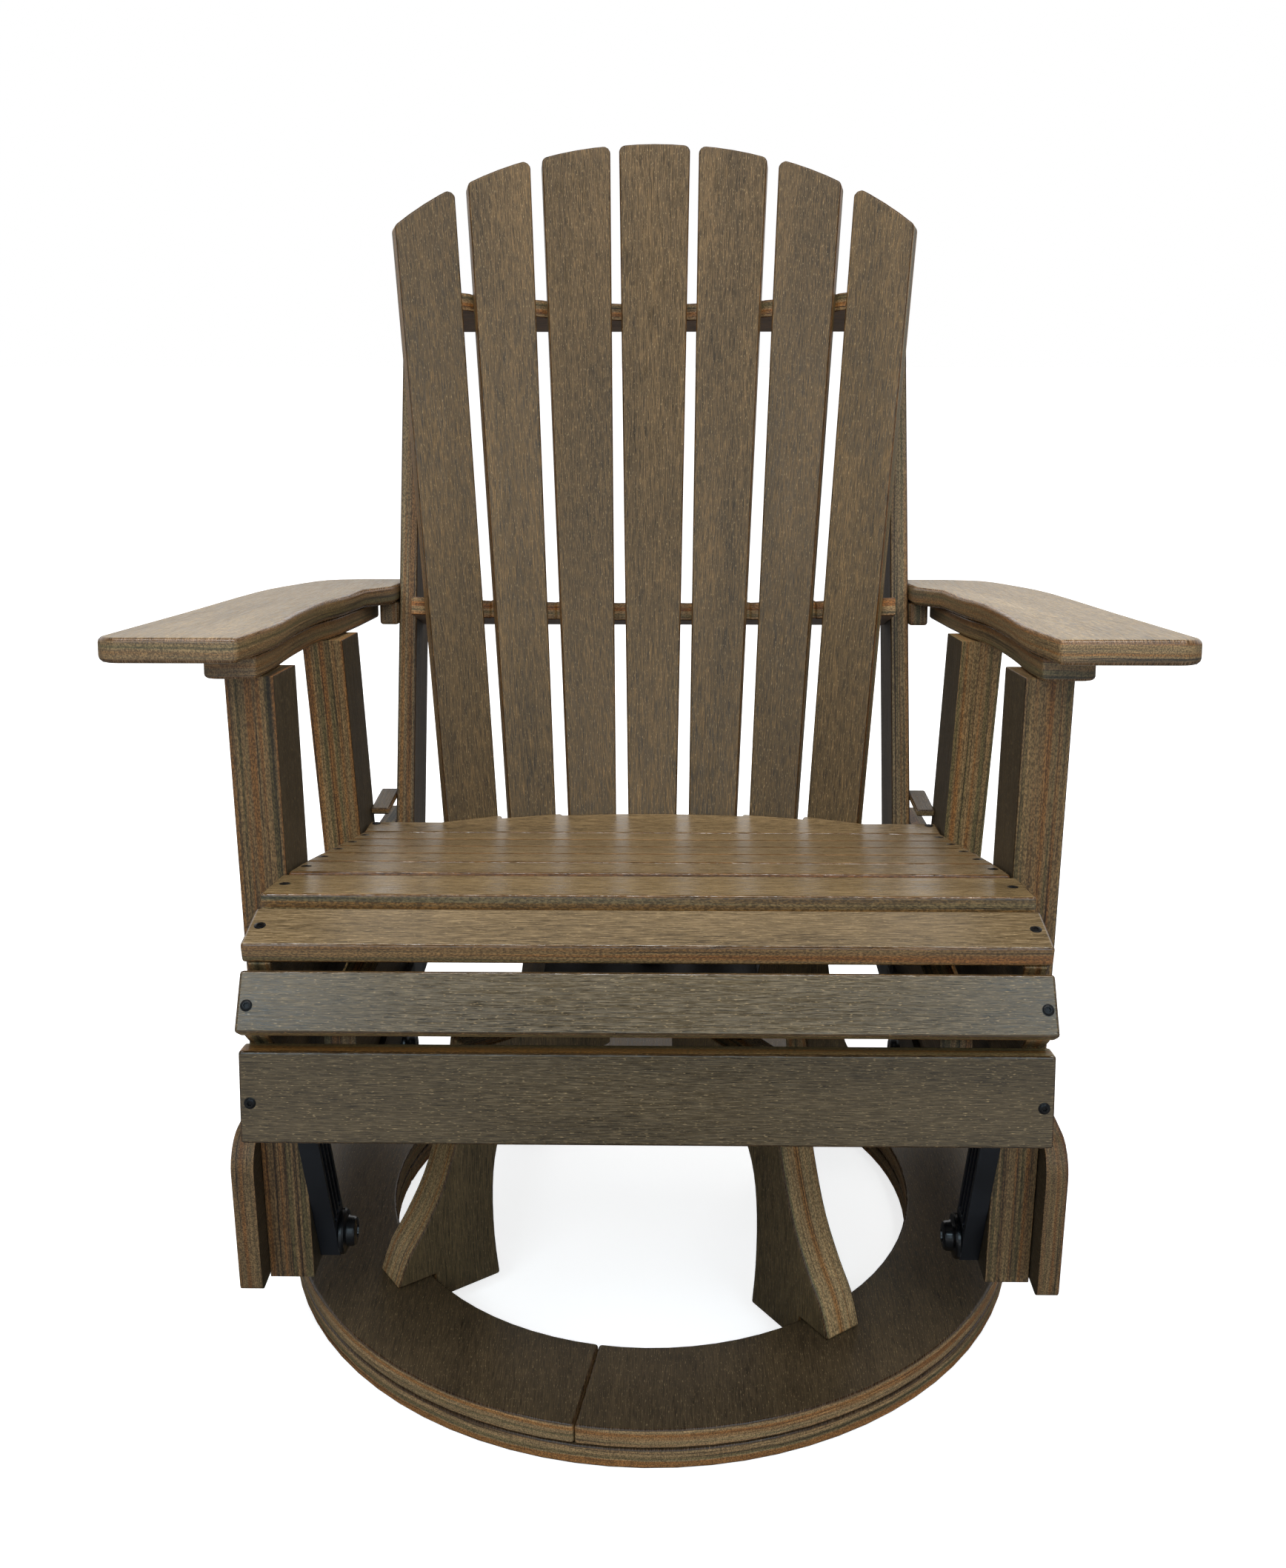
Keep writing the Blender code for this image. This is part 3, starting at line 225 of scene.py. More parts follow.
def make_lumber_group():
    """Object coordinates turned into along, across and through the board, then the two patterns by the normal."""
    group = bpy.data.node_groups.new("poly_lumber", "ShaderNodeTree")
    for way, sockets in (("INPUT", LUMBER_INPUTS), ("OUTPUT", LUMBER_OUTPUTS)):
        for name, kind in sockets:
            group.interface.new_socket(name=name, in_out=way, socket_type=kind)
    s = Shader(group)
    given = group.nodes.new("NodeGroupInput").outputs
    result = group.nodes.new("NodeGroupOutput").inputs
    spot = s.add("TexCoord")
    here = s.vector("ADD", spot.outputs["Object"], given["Shift"])
    along = s.dot(here, given["Grain"])
    across = s.dot(here, given["Across"])
    through = s.dot(here, given["Face"])
    squareness = s.math("ABSOLUTE", s.dot(spot.outputs["Normal"], given["Face"]))
    on_face = s.remap(squareness, *FACE_RANGE)

    # Faces: the grain wanders, then broad, medium and fine streaks along it, dark and pale hairs, short tan flecks
    bent = s.math("MULTIPLY_ADD", s.streaks(along, across, WANDER), WANDER_REACH, across)
    fine = s.streaks(along, bent, FINE, through)
    medium = s.streaks(along, bent, MEDIUM)
    tone = s.math("MULTIPLY", medium, MEDIUM_SHARE)
    tone = s.math("MULTIPLY_ADD", s.streaks(along, bent, BROAD), BROAD_SHARE, tone)
    tone = s.math("MULTIPLY_ADD", fine, FINE_SHARE, tone)
    tone = s.math("SUBTRACT", tone, TONE_OFFSET)
    face = s.mix(s.remap(tone, 0.0, 0.5), given["Dark"], given["Base"])
    face = s.mix(s.remap(tone, 0.5, 1.0), face, given["Light"])
    hairs = s.streaks(along, bent, HAIRS)
    face = s.mix(1.0, face, s.remap(hairs, *DARK_HAIRS), "MULTIPLY")
    face = s.mix(s.remap(hairs, *PALE_HAIRS), face, given["Light"])
    face = s.mix(s.remap(s.streaks(along, bent, FLECKS), *FLECK_RANGE), face, FLECK_TAN)

    # Edges: layers through the thickness, drawn out along the board, with a fine stipple
    depth = s.math("MULTIPLY_ADD", s.streaks(along, across, RIPPLE), RIPPLE_REACH, through)
    depth = s.math("MULTIPLY_ADD", s.streaks(along, across, SWELL), SWELL_REACH, depth)
    layers = s.noise(
        s.vector("MULTIPLY", s.combine(along, across, depth), LAYER_CELLS), LAYER_DETAIL, LAYER_ROUGHNESS,
    )
    hue = s.noise(
        s.combine(s.math("MULTIPLY", along, HUE_CELLS[0]), HUE_DEPTH, s.math("MULTIPLY", depth, HUE_CELLS[1])),
        HUE_DETAIL,
    )
    stripes = s.ramp(layers, STRIPES)
    warm = s.mix(1.0, stripes, WARM_GAIN, "MULTIPLY")
    warm = s.mix(1.0, warm, WARM_LIFT, "ADD")
    cool = s.mix(1.0, stripes, COOL_GAIN, "MULTIPLY")
    edge = s.mix(s.remap(hue, *COOL_RANGE), stripes, cool)
    edge = s.mix(s.math("MULTIPLY", s.remap(hue, *WARM_RANGE), given["Warm Edge"]), edge, warm)
    stipple = s.noise(
        s.vector("MULTIPLY", s.combine(along, across, through), STIPPLE_CELLS), STIPPLE_DETAIL, STIPPLE_ROUGHNESS,
    )
    edge = s.mix(1.0, edge, s.remap(stipple, *STIPPLE_RANGE), "MULTIPLY")
    # The edges' tint: on the seat slats it is painted shade, on the rear posts painted light
    edge = s.mix(1.0, edge, given["Edge Tint"], "MULTIPLY")

    # The rounded rims between them run darker, redder and smoother
    rim = s.math("MULTIPLY", s.remap(squareness, *RIM_FACE_END), s.remap(squareness, *RIM_EDGE_END))
    rim_color = s.mix(1.0, face, RIM_GAIN, "MULTIPLY")
    color = s.mix(s.math("MULTIPLY", rim, RIM_SHARE), s.mix(on_face, edge, face), rim_color)
    s.plug(result["Color"], color)

    even = s.math("MULTIPLY", s.math("ADD", medium, fine), 0.5)
    rough = s.math("MULTIPLY_ADD", s.remap(even, *GLOSS_RANGE), on_face, given["Roughness"])
    rough = s.math("MULTIPLY_ADD", rim, RIM_POLISH, rough)
    s.plug(result["Roughness"], s.math("MULTIPLY_ADD", s.math("SUBTRACT", 1.0, on_face), EDGE_ROUGHER, rough))

    emboss = s.math("MULTIPLY_ADD", fine, FINE_EMBOSS, s.math("MULTIPLY", medium, MEDIUM_EMBOSS))
    raised = s.bump(s.math("MULTIPLY", emboss, on_face), EMBOSS_DEPTH, EMBOSS_STRENGTH)
    grit = s.math("MULTIPLY", s.math("SUBTRACT", 1.0, on_face), s.math("ADD", stipple, layers))
    s.plug(result["Normal"], s.bump(grit, STIPPLE_DEPTH, STIPPLE_STRENGTH, raised))
    return group


lumber_group = make_lumber_group()

# Tones of the boards, by slot: dark, base and light of the faces, share of orange in the edges, the edges' tint,
# roughness
TONES = {
    "back_slat_board": ((37, 28, 16), (71, 55, 32), (108, 83, 50), 0.8, (1.08, 1.02, 0.92), 0.38),
    "seat_slat_board": ((50, 39, 25), (94, 76, 50), (132, 109, 76), 0.9, (1.20, 1.14, 1.02), 0.26),
    "arm_board": ((52, 42, 30), (106, 90, 67), (156, 135, 105), 0.8, (1.00, 0.93, 0.84), 0.38),
    "post_board": ((31, 26, 18), (50, 42, 30), (74, 62, 44), 0.8, (0.88, 0.76, 0.62), 0.45),
    "rail_board": ((54, 41, 29), (98, 76, 56), (130, 102, 75), 1.0, (1.34, 1.16, 1.00), 0.45),
    "frame_board": ((38, 31, 23), (66, 54, 39), (94, 77, 55), 0.8, (1.00, 0.98, 0.94), 0.45),
    "leg_board": ((46, 38, 26), (82, 68, 46), (113, 93, 62), 0.8, (1.75, 1.68, 1.58), 0.45),
    "ring_board": ((40, 32, 22), (68, 55, 38), (94, 77, 53), 0.9, (1.45, 1.34, 1.26), 0.42),
}
# How much lighter or darker a board's faces are than its group's tone, in red, green and blue; the lower front slat
# and the skirt are made darker as painted shade, because the lower front boards get less of the light from above
FACE_TONES_AND_PAINTED_SHADE = {
    "seat_lip_slat": (0.90, 0.90, 0.86), "front_slat_upper": (0.87, 0.90, 0.96),
    # Painted shade: the lower front slat and the skirt are darkened for the shade low on the chair's front
    "front_slat_lower": (0.52, 0.57, 0.63), "skirt_board": (0.46, 0.49, 0.52),
}
# Boards whose narrow edges have their own tint; the seat slats' edges are darkened as painted shade in the gaps
# between the slats, and the rear posts' edges are lightened as painted light
EDGE_TINTS_AND_PAINTED_LIGHT = {
    # Painted shade: the seat slats' edges are darkened for the shadow in the gaps between the slats
    **{f"seat_slat_{number}": (0.74, 0.62, 0.50) for number in range(1, 7)},
    "seat_lip_slat": (0.70, 0.74, 0.70), "front_slat_upper": (1.02, 0.84, 0.62), "skirt_board": (1.06, 1.06, 0.94),
    "low_side_board_left": (0.78, 0.68, 0.56), "low_side_board_right": (0.78, 0.68, 0.56),
    # Painted light: the rear posts' edges are lightened for the light that reaches them less
    "post_rear_left": (1.40, 1.22, 0.98), "post_rear_right": (1.40, 1.22, 0.98),
}
# Specular level, where it isn't the plain one
PLAIN_SHEEN = 0.35
SHEEN = {"seat_slat_board": 0.5, "arm_board": 0.5, "back_slat_board": 0.28}

# No two boards are alike: each is a little lighter or darker, and shows its own stretch of the pattern
TONE_SWING, TONE_STEP = 0.07, 2.4
SHIFT_STEPS, SHIFT_REACH = ((1.7, 0.0), (2.9, 1.0), (4.3, 2.0)), 3.0

SLIVER_AREA = 1e-5
SAME_WAY = 0.985
MAIN_FACES_SHARE = 0.4
END_SHARE = 0.12


def board_axes(name, hint):
    """(grain, face normal) of a board: the way that most of its surface faces, and the hint laid in that plane."""
    polygons = nodes[name].data.polygons
    enough = MAIN_FACES_SHARE * sum(p.area for p in polygons)
    best, normal = 0.0, None
    for candidate in polygons:
        if candidate.area < SLIVER_AREA:
            continue
        total = sum(p.area for p in polygons if abs(p.normal.dot(candidate.normal)) > SAME_WAY)
        if total > best:
            best, normal = total, candidate.normal.copy()
        if best > enough:
            break
    grain = Vector(hint)
    grain = (grain - normal * grain.dot(normal)).normalized()
    return grain, normal


def long_axis(name):
    """From the middle of a node's lowest points to the middle of its highest, for posts, uprights and back slats."""
    points = [v.co for v in nodes[name].data.vertices]
    low = min(p.z for p in points)
    high = max(p.z for p in points)
    band = END_SHARE * (high - low)
    foot = [p for p in points if p.z < low + band]
    head = [p for p in points if p.z > high - band]
    return sum(head, Vector()) / len(head) - sum(foot, Vector()) / len(foot)


def board_material(name, slot, hint, number):
    grain, face = board_axes(name, hint)
    dark, base, light, warm, edge_tint_and_painted_light, rough = TONES[slot]
    # Own edge tints: painted shade on the seat slats' edges, painted light on the rear posts' edges
    edge_tint_and_painted_light = EDGE_TINTS_AND_PAINTED_LIGHT.get(name, edge_tint_and_painted_light)
    swing = 1.0 + TONE_SWING * math.sin(number * TONE_STEP)
    # The face tone swings at random from board to board; on the lower front slat and the skirt it also carries
    # painted shade
    face_lift_and_shade = [share * swing for share in FACE_TONES_AND_PAINTED_SHADE.get(name, (1.0, 1.0, 1.0))] + [1.0]
    dark, base, light = ([a * b for a, b in zip(srgb(*shade), face_lift_and_shade)] for shade in (dark, base, light))
    shift = Vector([math.sin(number * step + start) for step, start in SHIFT_STEPS]) * SHIFT_REACH
    sheen = SHEEN.get(slot, PLAIN_SHEEN)
    material, tree, principled = new_material(name + "_lumber", Specular_IOR_Level=sheen)
    group = tree.add("Group", node_tree=lumber_group)
    values = (
        ("Grain", grain), ("Face", face), ("Across", face.cross(grain)), ("Shift", shift),
        ("Dark", dark), ("Base", base), ("Light", light),
        ("Edge Tint", (*edge_tint_and_painted_light, 1.0)), ("Warm Edge", warm), ("Roughness", rough),
    )
    for socket, value in values:
        group.inputs[socket].default_value = value
    for (socket, _), target in zip(LUMBER_OUTPUTS, ("Base Color", "Roughness", "Normal")):
        tree.plug(principled.inputs[target], group.outputs[socket])
    return material


# ---- Black parts

SMUDGE_CELLS = 14.0
SMUDGE_GAIN = 1.6
SMUDGE_TONES = (0.35, 0.65)
SMUDGE_GLOSS = (0.3, 0.7)
POLISHED, DULLED = -0.05, 0.08
PEEL_STRENGTH = 0.5


def black_material(name, color, roughness, grain_size, depth, metallic=0.0):
    """A black coat or moulding: a fine peel in relief, with smudges that are paler and duller."""
    material, tree, principled = new_material(name, Base_Color=color, Metallic=metallic, Roughness=roughness)
    spot = tree.add("TexCoord").outputs["Object"]
    peel = tree.noise(spot, detail=3.0, roughness=0.6, scale=1.0 / grain_size)
    smudge = tree.noise(spot, scale=SMUDGE_CELLS)
    paler = [c * SMUDGE_GAIN for c in color[:3]] + [1.0]
    tree.plug(principled.inputs["Base Color"], tree.mix(tree.remap(smudge, *SMUDGE_TONES), color, paler))
    dullness = tree.remap(smudge, *SMUDGE_GLOSS, roughness + POLISHED, roughness + DULLED)
    tree.plug(principled.inputs["Roughness"], dullness)
    tree.plug(principled.inputs["Normal"], tree.bump(peel, depth, PEEL_STRENGTH))
    return material


steel = black_material("black_powder_coat", srgb(15, 15, 17), 0.36, 1.1 * MM, 0.15 * MM)
moulded = black_material("black_moulded_plastic", srgb(13, 15, 20), 0.42, 0.7 * MM, 0.10 * MM)
glossy = black_material("black_glossy_cap", srgb(9, 10, 12), 0.22, 3.0 * MM, 0.05 * MM)
screw_black = black_material("black_oxide_screw", srgb(16, 16, 17), 0.30, 0.9 * MM, 0.05 * MM, 0.6)


# ---- Carried-over solids: merged faces, rounded edges and their materials

WELD_REACH = 0.01 * MM
SAME_PLANE = math.radians(0.6)
SHARP = math.radians(32)
ARM_SEGMENTS = 2


def dress(name, material, rounding, segments=3, cutter=None):
    """A solid's own triangles merged into whole faces, cut, rounded along its sharp edges, and given its material."""
    node = nodes[name]
    mesh = node.data
    if "custom_normal" in mesh.attributes:
        mesh.attributes.remove(mesh.attributes["custom_normal"])
    mesh.shade_smooth()
    mesh.materials.clear()
    mesh.materials.append(material)
    weld = node.modifiers.new("weld", "WELD")
    weld.merge_threshold = WELD_REACH
    flat = node.modifiers.new("merge_faces", "DECIMATE")
    flat.decimate_type = "DISSOLVE"
    flat.angle_limit = SAME_PLANE
    if cutter is not None:
        pockets = node.modifiers.new("pockets", "BOOLEAN")
        pockets.operation = "DIFFERENCE"
        pockets.solver = "EXACT"
        pockets.object = cutter
    edge = node.modifiers.new("rounding", "BEVEL")
    edge.width = rounding
    edge.segments = segments
    edge.limit_method = "ANGLE"
    edge.angle_limit = SHARP
    edge.harden_normals = True


BLACK = {"black_steel": steel, "swing_arm_plastic": moulded}
ALONG_X = (1, 0, 0)
ALONG_Y = (0, 1, 0)
ALONG_Z = (0, 0, 1)
ROUNDING = {
    "back_slat_board": 2.2 * MM, "seat_slat_board": 2.6 * MM, "arm_board": 3.2 * MM, "post_board": 2.6 * MM,
    "rail_board": 1.6 * MM, "frame_board": 2.0 * MM, "leg_board": 2.8 * MM, "ring_board": 3.0 * MM,
    "black_steel": 0.8 * MM, "swing_arm_plastic": 1.4 * MM,
}
OWN_ROUNDING = {
    "arm_left": 4.6 * MM, "arm_right": 4.6 * MM,
    "low_side_board_left": 5.2 * MM, "low_side_board_right": 5.2 * MM,
}


def grain_hint(name):
    """The way that a board's grain runs, near enough: along its length."""
    if name.startswith(("back_slat", "post_", "upright")):
        return long_axis(name)
    if name.startswith("leg_"):
        return ALONG_Z
    if name.startswith(("seat_", "front_slat", "skirt", "back_rail")):
        return ALONG_X
    return ALONG_Y


# ---- Turned and moulded pieces

def finish_piece(name, bm, material, body):
    """A new smooth-shaded piece from a bmesh, riding on its body."""
    bmesh.ops.recalc_face_normals(bm, faces=bm.faces)
    mesh = bpy.data.meshes.new(name)
    bm.to_mesh(mesh)
    bm.free()
    mesh.shade_smooth()
    mesh.set_sharp_from_angle(angle=SHARP)
    mesh.materials.append(material)
    piece = bpy.data.objects.new(name, mesh)
    bpy.context.scene.collection.objects.link(piece)
    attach(piece, body)


def facing(point, outward):
    """A place at point whose Z looks along outward."""
    return Matrix.Translation(point) @ Vector(outward).to_track_quat("Z", "Y").to_matrix().to_4x4()


LOBES = 6


def turn_profile(bm, place, profile, segments=24, closed=False):
    """Revolve rows of (radius, height) or (radius, height, lobe depth) about the place's Z; closed makes a ring."""
    rings = []
    for row in profile:
        radius, height = row[:2]
        lobe = row[2] if len(row) > 2 else 0.0
        ring = []
        for step in range(segments):
            angle = 2 * math.pi * step / segments
            reach = radius * (1 + lobe * math.cos(LOBES * angle))
            spot = Vector((reach * math.cos(angle), reach * math.sin(angle), height))
            ring.append(bm.verts.new(place @ spot))
        rings.append(ring)
    pairs = list(zip(rings, rings[1:]))
    if closed:
        pairs.append((rings[-1], rings[0]))
    else:
        bm.faces.new(rings[0][::-1])
        bm.faces.new(rings[-1])
    for low, high in pairs:
        for step in range(segments):
            after = (step + 1) % segments
            bm.faces.new((low[step], low[after], high[after], high[step]))


# How far heads and washers reach into the board under them
SUNK = 0.4 * MM


def pan_screw(bm, point, outward, radius=3.9 * MM, height=1.5 * MM):
    """A domed head on a thin flange, with a six-lobed recess."""
    turn_profile(bm, facing(point, outward), (
        (1.16 * radius, -SUNK), (1.16 * radius, 0.25 * MM), (1.02 * radius, 0.40 * MM), (radius, 0.55 * height),
        (0.88 * radius, 0.85 * height), (0.66 * radius, height), (0.50 * radius, height),
        (0.44 * radius, height, 0.20), (0.40 * radius, 0.25 * height, 0.20),
    ), 36)


def dome_head(bm, point, outward, radius=8.5 * MM, height=3.6 * MM):
    """A carriage bolt's plain domed head."""
    turn_profile(bm, facing(point, outward), (
        (radius, -SUNK), (radius, 0.5 * MM), (0.94 * radius, 0.40 * height), (0.78 * radius, 0.70 * height),
        (0.52 * radius, 0.91 * height), (0.22 * radius, height),
    ), 28)


def hex_head(bm, point, outward, across=11.0 * MM, height=5.0 * MM, washer=1.35):
    """A hexagon head or nut, its top corners chamfered, on a round washer, with the bolt's end in its middle."""
    place = facing(point, outward)
    corner = across / 2 / math.cos(math.pi / 6)
    rim, shank = washer * corner, 0.60 * corner
    turn_profile(bm, place, ((rim, -SUNK), (rim, 1.1 * MM), (rim - 0.4 * MM, 1.5 * MM)))
    turn_profile(bm, place, ((corner, 1.2 * MM), (corner, height - 0.8 * MM), (0.88 * corner, height)), 6)
    turn_profile(bm, place, (
        (shank, height - 0.4 * MM), (shank, height + 1.2 * MM), (0.45 * corner, height + 2.0 * MM),
    ))


LOOKS_TOWARD = 0.5
COPLANAR = 0.999


def board_face(name, toward):
    """Middle and outward normal of the flat face that most looks along toward."""
    toward = Vector(toward)
    polygons = [p for p in nodes[name].data.polygons if p.normal.dot(toward) > LOOKS_TOWARD]
    normal = max(polygons, key=lambda p: p.area * p.normal.dot(toward)).normal.copy()
    flat = [p for p in polygons if p.normal.dot(normal) > COPLANAR]
    area = sum(p.area for p in flat)
    return sum((p.center * p.area for p in flat), Vector()) / area, normal


# The CAD's own places: pivots of the front and rear swing arms in (y, z), lower then upper; the back's lean, foot
# and rails; the swivel plate's turn
PIVOTS = {"front": ((-0.202, 0.112), (-0.26135, 0.2796)), "rear": ((0.133, 0.112), (0.16693, 0.28653))}
RECLINE = math.radians(19.4)
BACK_FOOT = Vector((0.0, 0.1275, 0.385))
RAILS_UP = (0.5396, 0.2145, -0.0360)
SWIVEL_TURN = math.radians(-9.5)


def on_back(x, up, forward):
    """A point in the back's own frame: across, up the recline, and out of the slats."""
    lean, rise = math.sin(RECLINE), math.cos(RECLINE)
    return BACK_FOOT + Vector((x, up * lean - forward * rise, up * rise + forward * lean))


# ---- Moulded swing arms: long pockets between ribs on their inner sides, cut before the edges are rounded

POCKET_OFFSETS = (-8.6 * MM, 0.0, 8.6 * MM)
POCKET_HALF_WIDTH = 2.9 * MM
POCKET_DEPTH = 6.5 * MM
POCKET_MARGINS = (27 * MM, 25 * MM)
POCKET_OVERRUN = 4 * MM


def capsule(foot, head, half_width, steps=6):
    """Points in a plane round a slot from foot to head."""
    heading = math.atan2(head.y - foot.y, head.x - foot.x)
    points = []
    for center, start in ((foot, math.pi / 2), (head, -math.pi / 2)):
        for step in range(steps + 1):
            angle = heading + start + math.pi * step / steps
            points.append(center + half_width * Vector((math.cos(angle), math.sin(angle))))
    return points


def make_pocket_cutter():
    """One hidden mesh with the pockets of all four swing arms."""
    bm = bmesh.new()
    for word, side in SIDES:
        for spot, (foot, head) in PIVOTS.items():
            low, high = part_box(f"swing_arm_{spot}_{word}")
            inner = min(abs(low[0]), abs(high[0]))
            foot, head = Vector(foot), Vector(head)
            along = (head - foot).normalized()
            across = Vector((-along.y, along.x))
            for offset in POCKET_OFFSETS:
                start = foot + along * POCKET_MARGINS[0] + across * offset
                end = head - along * POCKET_MARGINS[1] + across * offset
                outline = capsule(start, end, POCKET_HALF_WIDTH)
                near = [bm.verts.new((side * (inner - POCKET_OVERRUN), p.x, p.y)) for p in outline]
                far = [bm.verts.new((side * (inner + POCKET_DEPTH), p.x, p.y)) for p in outline]
                bm.faces.new(near)
                bm.faces.new(far[::-1])
                for step in range(len(near)):
                    after = (step + 1) % len(near)
                    bm.faces.new((near[step], far[step], far[after], near[after]))
    bmesh.ops.recalc_face_normals(bm, faces=bm.faces)
    mesh = bpy.data.meshes.new("arm_pocket_cutter")
    bm.to_mesh(mesh)
    bm.free()
    cutter = bpy.data.objects.new("arm_pocket_cutter", mesh)
    bpy.context.scene.collection.objects.link(cutter)
    cutter.hide_render = True
    return cutter


pocket_cutter = make_pocket_cutter()

for number, name in enumerate(sorted(nodes)):
    slot = slot_of_node[name]
    if slot == "swing_arm_plastic":
        dress(name, moulded, ROUNDING[slot], ARM_SEGMENTS, pocket_cutter)
    elif slot in BLACK:
        dress(name, BLACK[slot], ROUNDING[slot])
    else:
        lumber = board_material(name, slot, grain_hint(name), number)
        dress(name, lumber, OWN_ROUNDING.get(name, ROUNDING[slot]))


# ---- Fasteners and caps

# One screw near each end of each board: the way its face looks, the screws' reach from the middle, how far their
# heads stand up, and how far below the face's middle line they are
SEAT_SCREWS = {
    **{f"seat_slat_{number}": (ALONG_Z, 0.2796, 0.6 * MM, 0.0) for number in range(1, 7)},
    "seat_lip_slat": (ALONG_Z, 0.2808, 0.6 * MM, 0.0),
    "front_slat_upper": ((0, -0.4, 1), 0.2827, 0.6 * MM, 0.0),
    "front_slat_lower": ((0, -1, 1), 0.2842, 1.6 * MM, 3.0 * MM),
    "skirt_board": ((0, -1, 0.2), 0.2837, 1.6 * MM, 4.0 * MM),
}
SEAT_SCREW_RADIUS = 3.7 * MM


def make_seat_screws():
    bm = bmesh.new()
    for name, (toward, reach, proud, below) in SEAT_SCREWS.items():
        middle, normal = board_face(name, toward)
        down = Vector(ALONG_X).cross(normal) * below
        for _, side in SIDES:
            spot = Vector((side * reach, middle.y, middle.z)) + down
            pan_screw(bm, spot, normal, SEAT_SCREW_RADIUS, proud)
    finish_piece("seat_screws", bm, screw_black, "seat")


UPRIGHT_OUTSIDE = 0.2697
RAIL_BACK = -0.060
RAIL_END_SCREWS = (-0.031, -0.050)
FOOT_PITCH, HEAD_PITCH, PITCH_SPAN = 0.0622, 0.0812, 0.610
PITCH_TRIM = 0.985


def make_back_screws():
    """Into the rails' ends through the uprights, and through the rails into each slat."""
    bm = bmesh.new()
    backward = Vector((0, math.cos(RECLINE), -math.sin(RECLINE)))
    for up in RAILS_UP:
        for _, side in SIDES:
            for forward in RAIL_END_SCREWS:
                pan_screw(bm, on_back(side * UPRIGHT_OUTSIDE, up, forward), (side, 0, 0))
        pitch = FOOT_PITCH + (HEAD_PITCH - FOOT_PITCH) * up / PITCH_SPAN
        for slat in range(-3, 4):
            pan_screw(bm, on_back(slat * pitch * PITCH_TRIM, up, RAIL_BACK), backward)
    finish_piece("back_screws", bm, screw_black, "seat")


LOW_BOARD_OUTSIDE = 0.3464
LOW_BOARD_SCREWS = ((-0.216, 0.168), (-0.188, 0.212), (0.127, 0.168), (0.160, 0.212))
LOW_SCREW_RADIUS = 4.3 * MM
POST_OUTSIDE = 0.3271
POST_BOLT_HEIGHTS = {"post_front_left": (0.372, 0.425), "post_rear_left": (0.352, 0.398)}
FOOT_BAND = 1 * MM


def post_middle(name, height):
    """Where a post's middle is along Y at a height, by its foot and its lean."""
    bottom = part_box(name)[0][2]
    lean = long_axis(name)
    foot = [v.co.y for v in nodes[name].data.vertices if v.co.z < bottom + FOOT_BAND]
    return (min(foot) + max(foot)) / 2 + (height - bottom) * lean.y / lean.z


def make_side_fasteners():
    """Screws through the low side boards, and bolts through the posts into the stringers."""
    bm = bmesh.new()
    for _, side in SIDES:
        outward = (side, 0, 0)
        for y, z in LOW_BOARD_SCREWS:
            pan_screw(bm, (side * LOW_BOARD_OUTSIDE, y, z), outward, LOW_SCREW_RADIUS)
        for post, heights in POST_BOLT_HEIGHTS.items():
            for z in heights:
                dome_head(bm, (side * POST_OUTSIDE, post_middle(post, z), z), outward)
    finish_piece("side_fasteners", bm, screw_black, "seat")


# Rows of (radius, height), the last two with shallow lobes
PIVOT_CAP = (
    (19.0 * MM, 0.0), (19.6 * MM, 0.8 * MM), (19.6 * MM, 3.0 * MM), (18.4 * MM, 4.6 * MM), (15.6 * MM, 5.4 * MM),
    (13.8 * MM, 6.2 * MM), (13.0 * MM, 7.6 * MM), (12.7 * MM, 11.2 * MM), (11.6 * MM, 12.9 * MM),
    (9.0 * MM, 13.8 * MM), (6.4 * MM, 14.0 * MM), (5.6 * MM, 14.0 * MM, 0.08), (5.2 * MM, 12.6 * MM, 0.08),
)
CAP_CLEARANCE = 0.3 * MM


def make_pivot_caps():
    """Flanged caps over the bolts' inner ends, at the feet of the swing arms."""
    for word, side in SIDES:
        for spot, (foot, _) in PIVOTS.items():
            low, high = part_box(f"swing_arm_{spot}_{word}")
            inner = min(abs(low[0]), abs(high[0])) - CAP_CLEARANCE
            bm = bmesh.new()
            turn_profile(bm, facing((side * inner, *foot), (-side, 0, 0)), PIVOT_CAP, 36)
            finish_piece(f"pivot_cap_{spot}_{word}", bm, glossy, "seat")


# The swivel: bolts on its lower plate, the nut on its spindle, the lips of its two races, and the bolts of the plates
# that carry the glider frame's boards
PLATE_TOP = 0.2601
PLATE_BOLT_REACHES = (0.101, 0.128)
SPINDLE_TOP = 0.2900
RACE_LIP = (
    (81.6 * MM, 0.0), (83.8 * MM, 0.4 * MM), (84.4 * MM, 2.4 * MM), (83.8 * MM, 4.4 * MM), (81.6 * MM, 4.8 * MM),
)
UPPER_RACE_LIP = (
    (81.6 * MM, 0.0), (83.8 * MM, 0.4 * MM), (84.4 * MM, 2.6 * MM), (83.8 * MM, 5.0 * MM), (81.6 * MM, 5.4 * MM),
)
RACE_BOTTOM, UPPER_RACE_BOTTOM = 0.2652, 0.2744
RACE_SEGMENTS = 64
TUBE_Y, TUBE_BOLT_OFFSET, FRAME_BOLT_Z = 0.111, 0.0245, 0.2905
END_PLATE_INSIDE, FRAME_BOARD_OUTSIDE = 0.2180, 0.2540


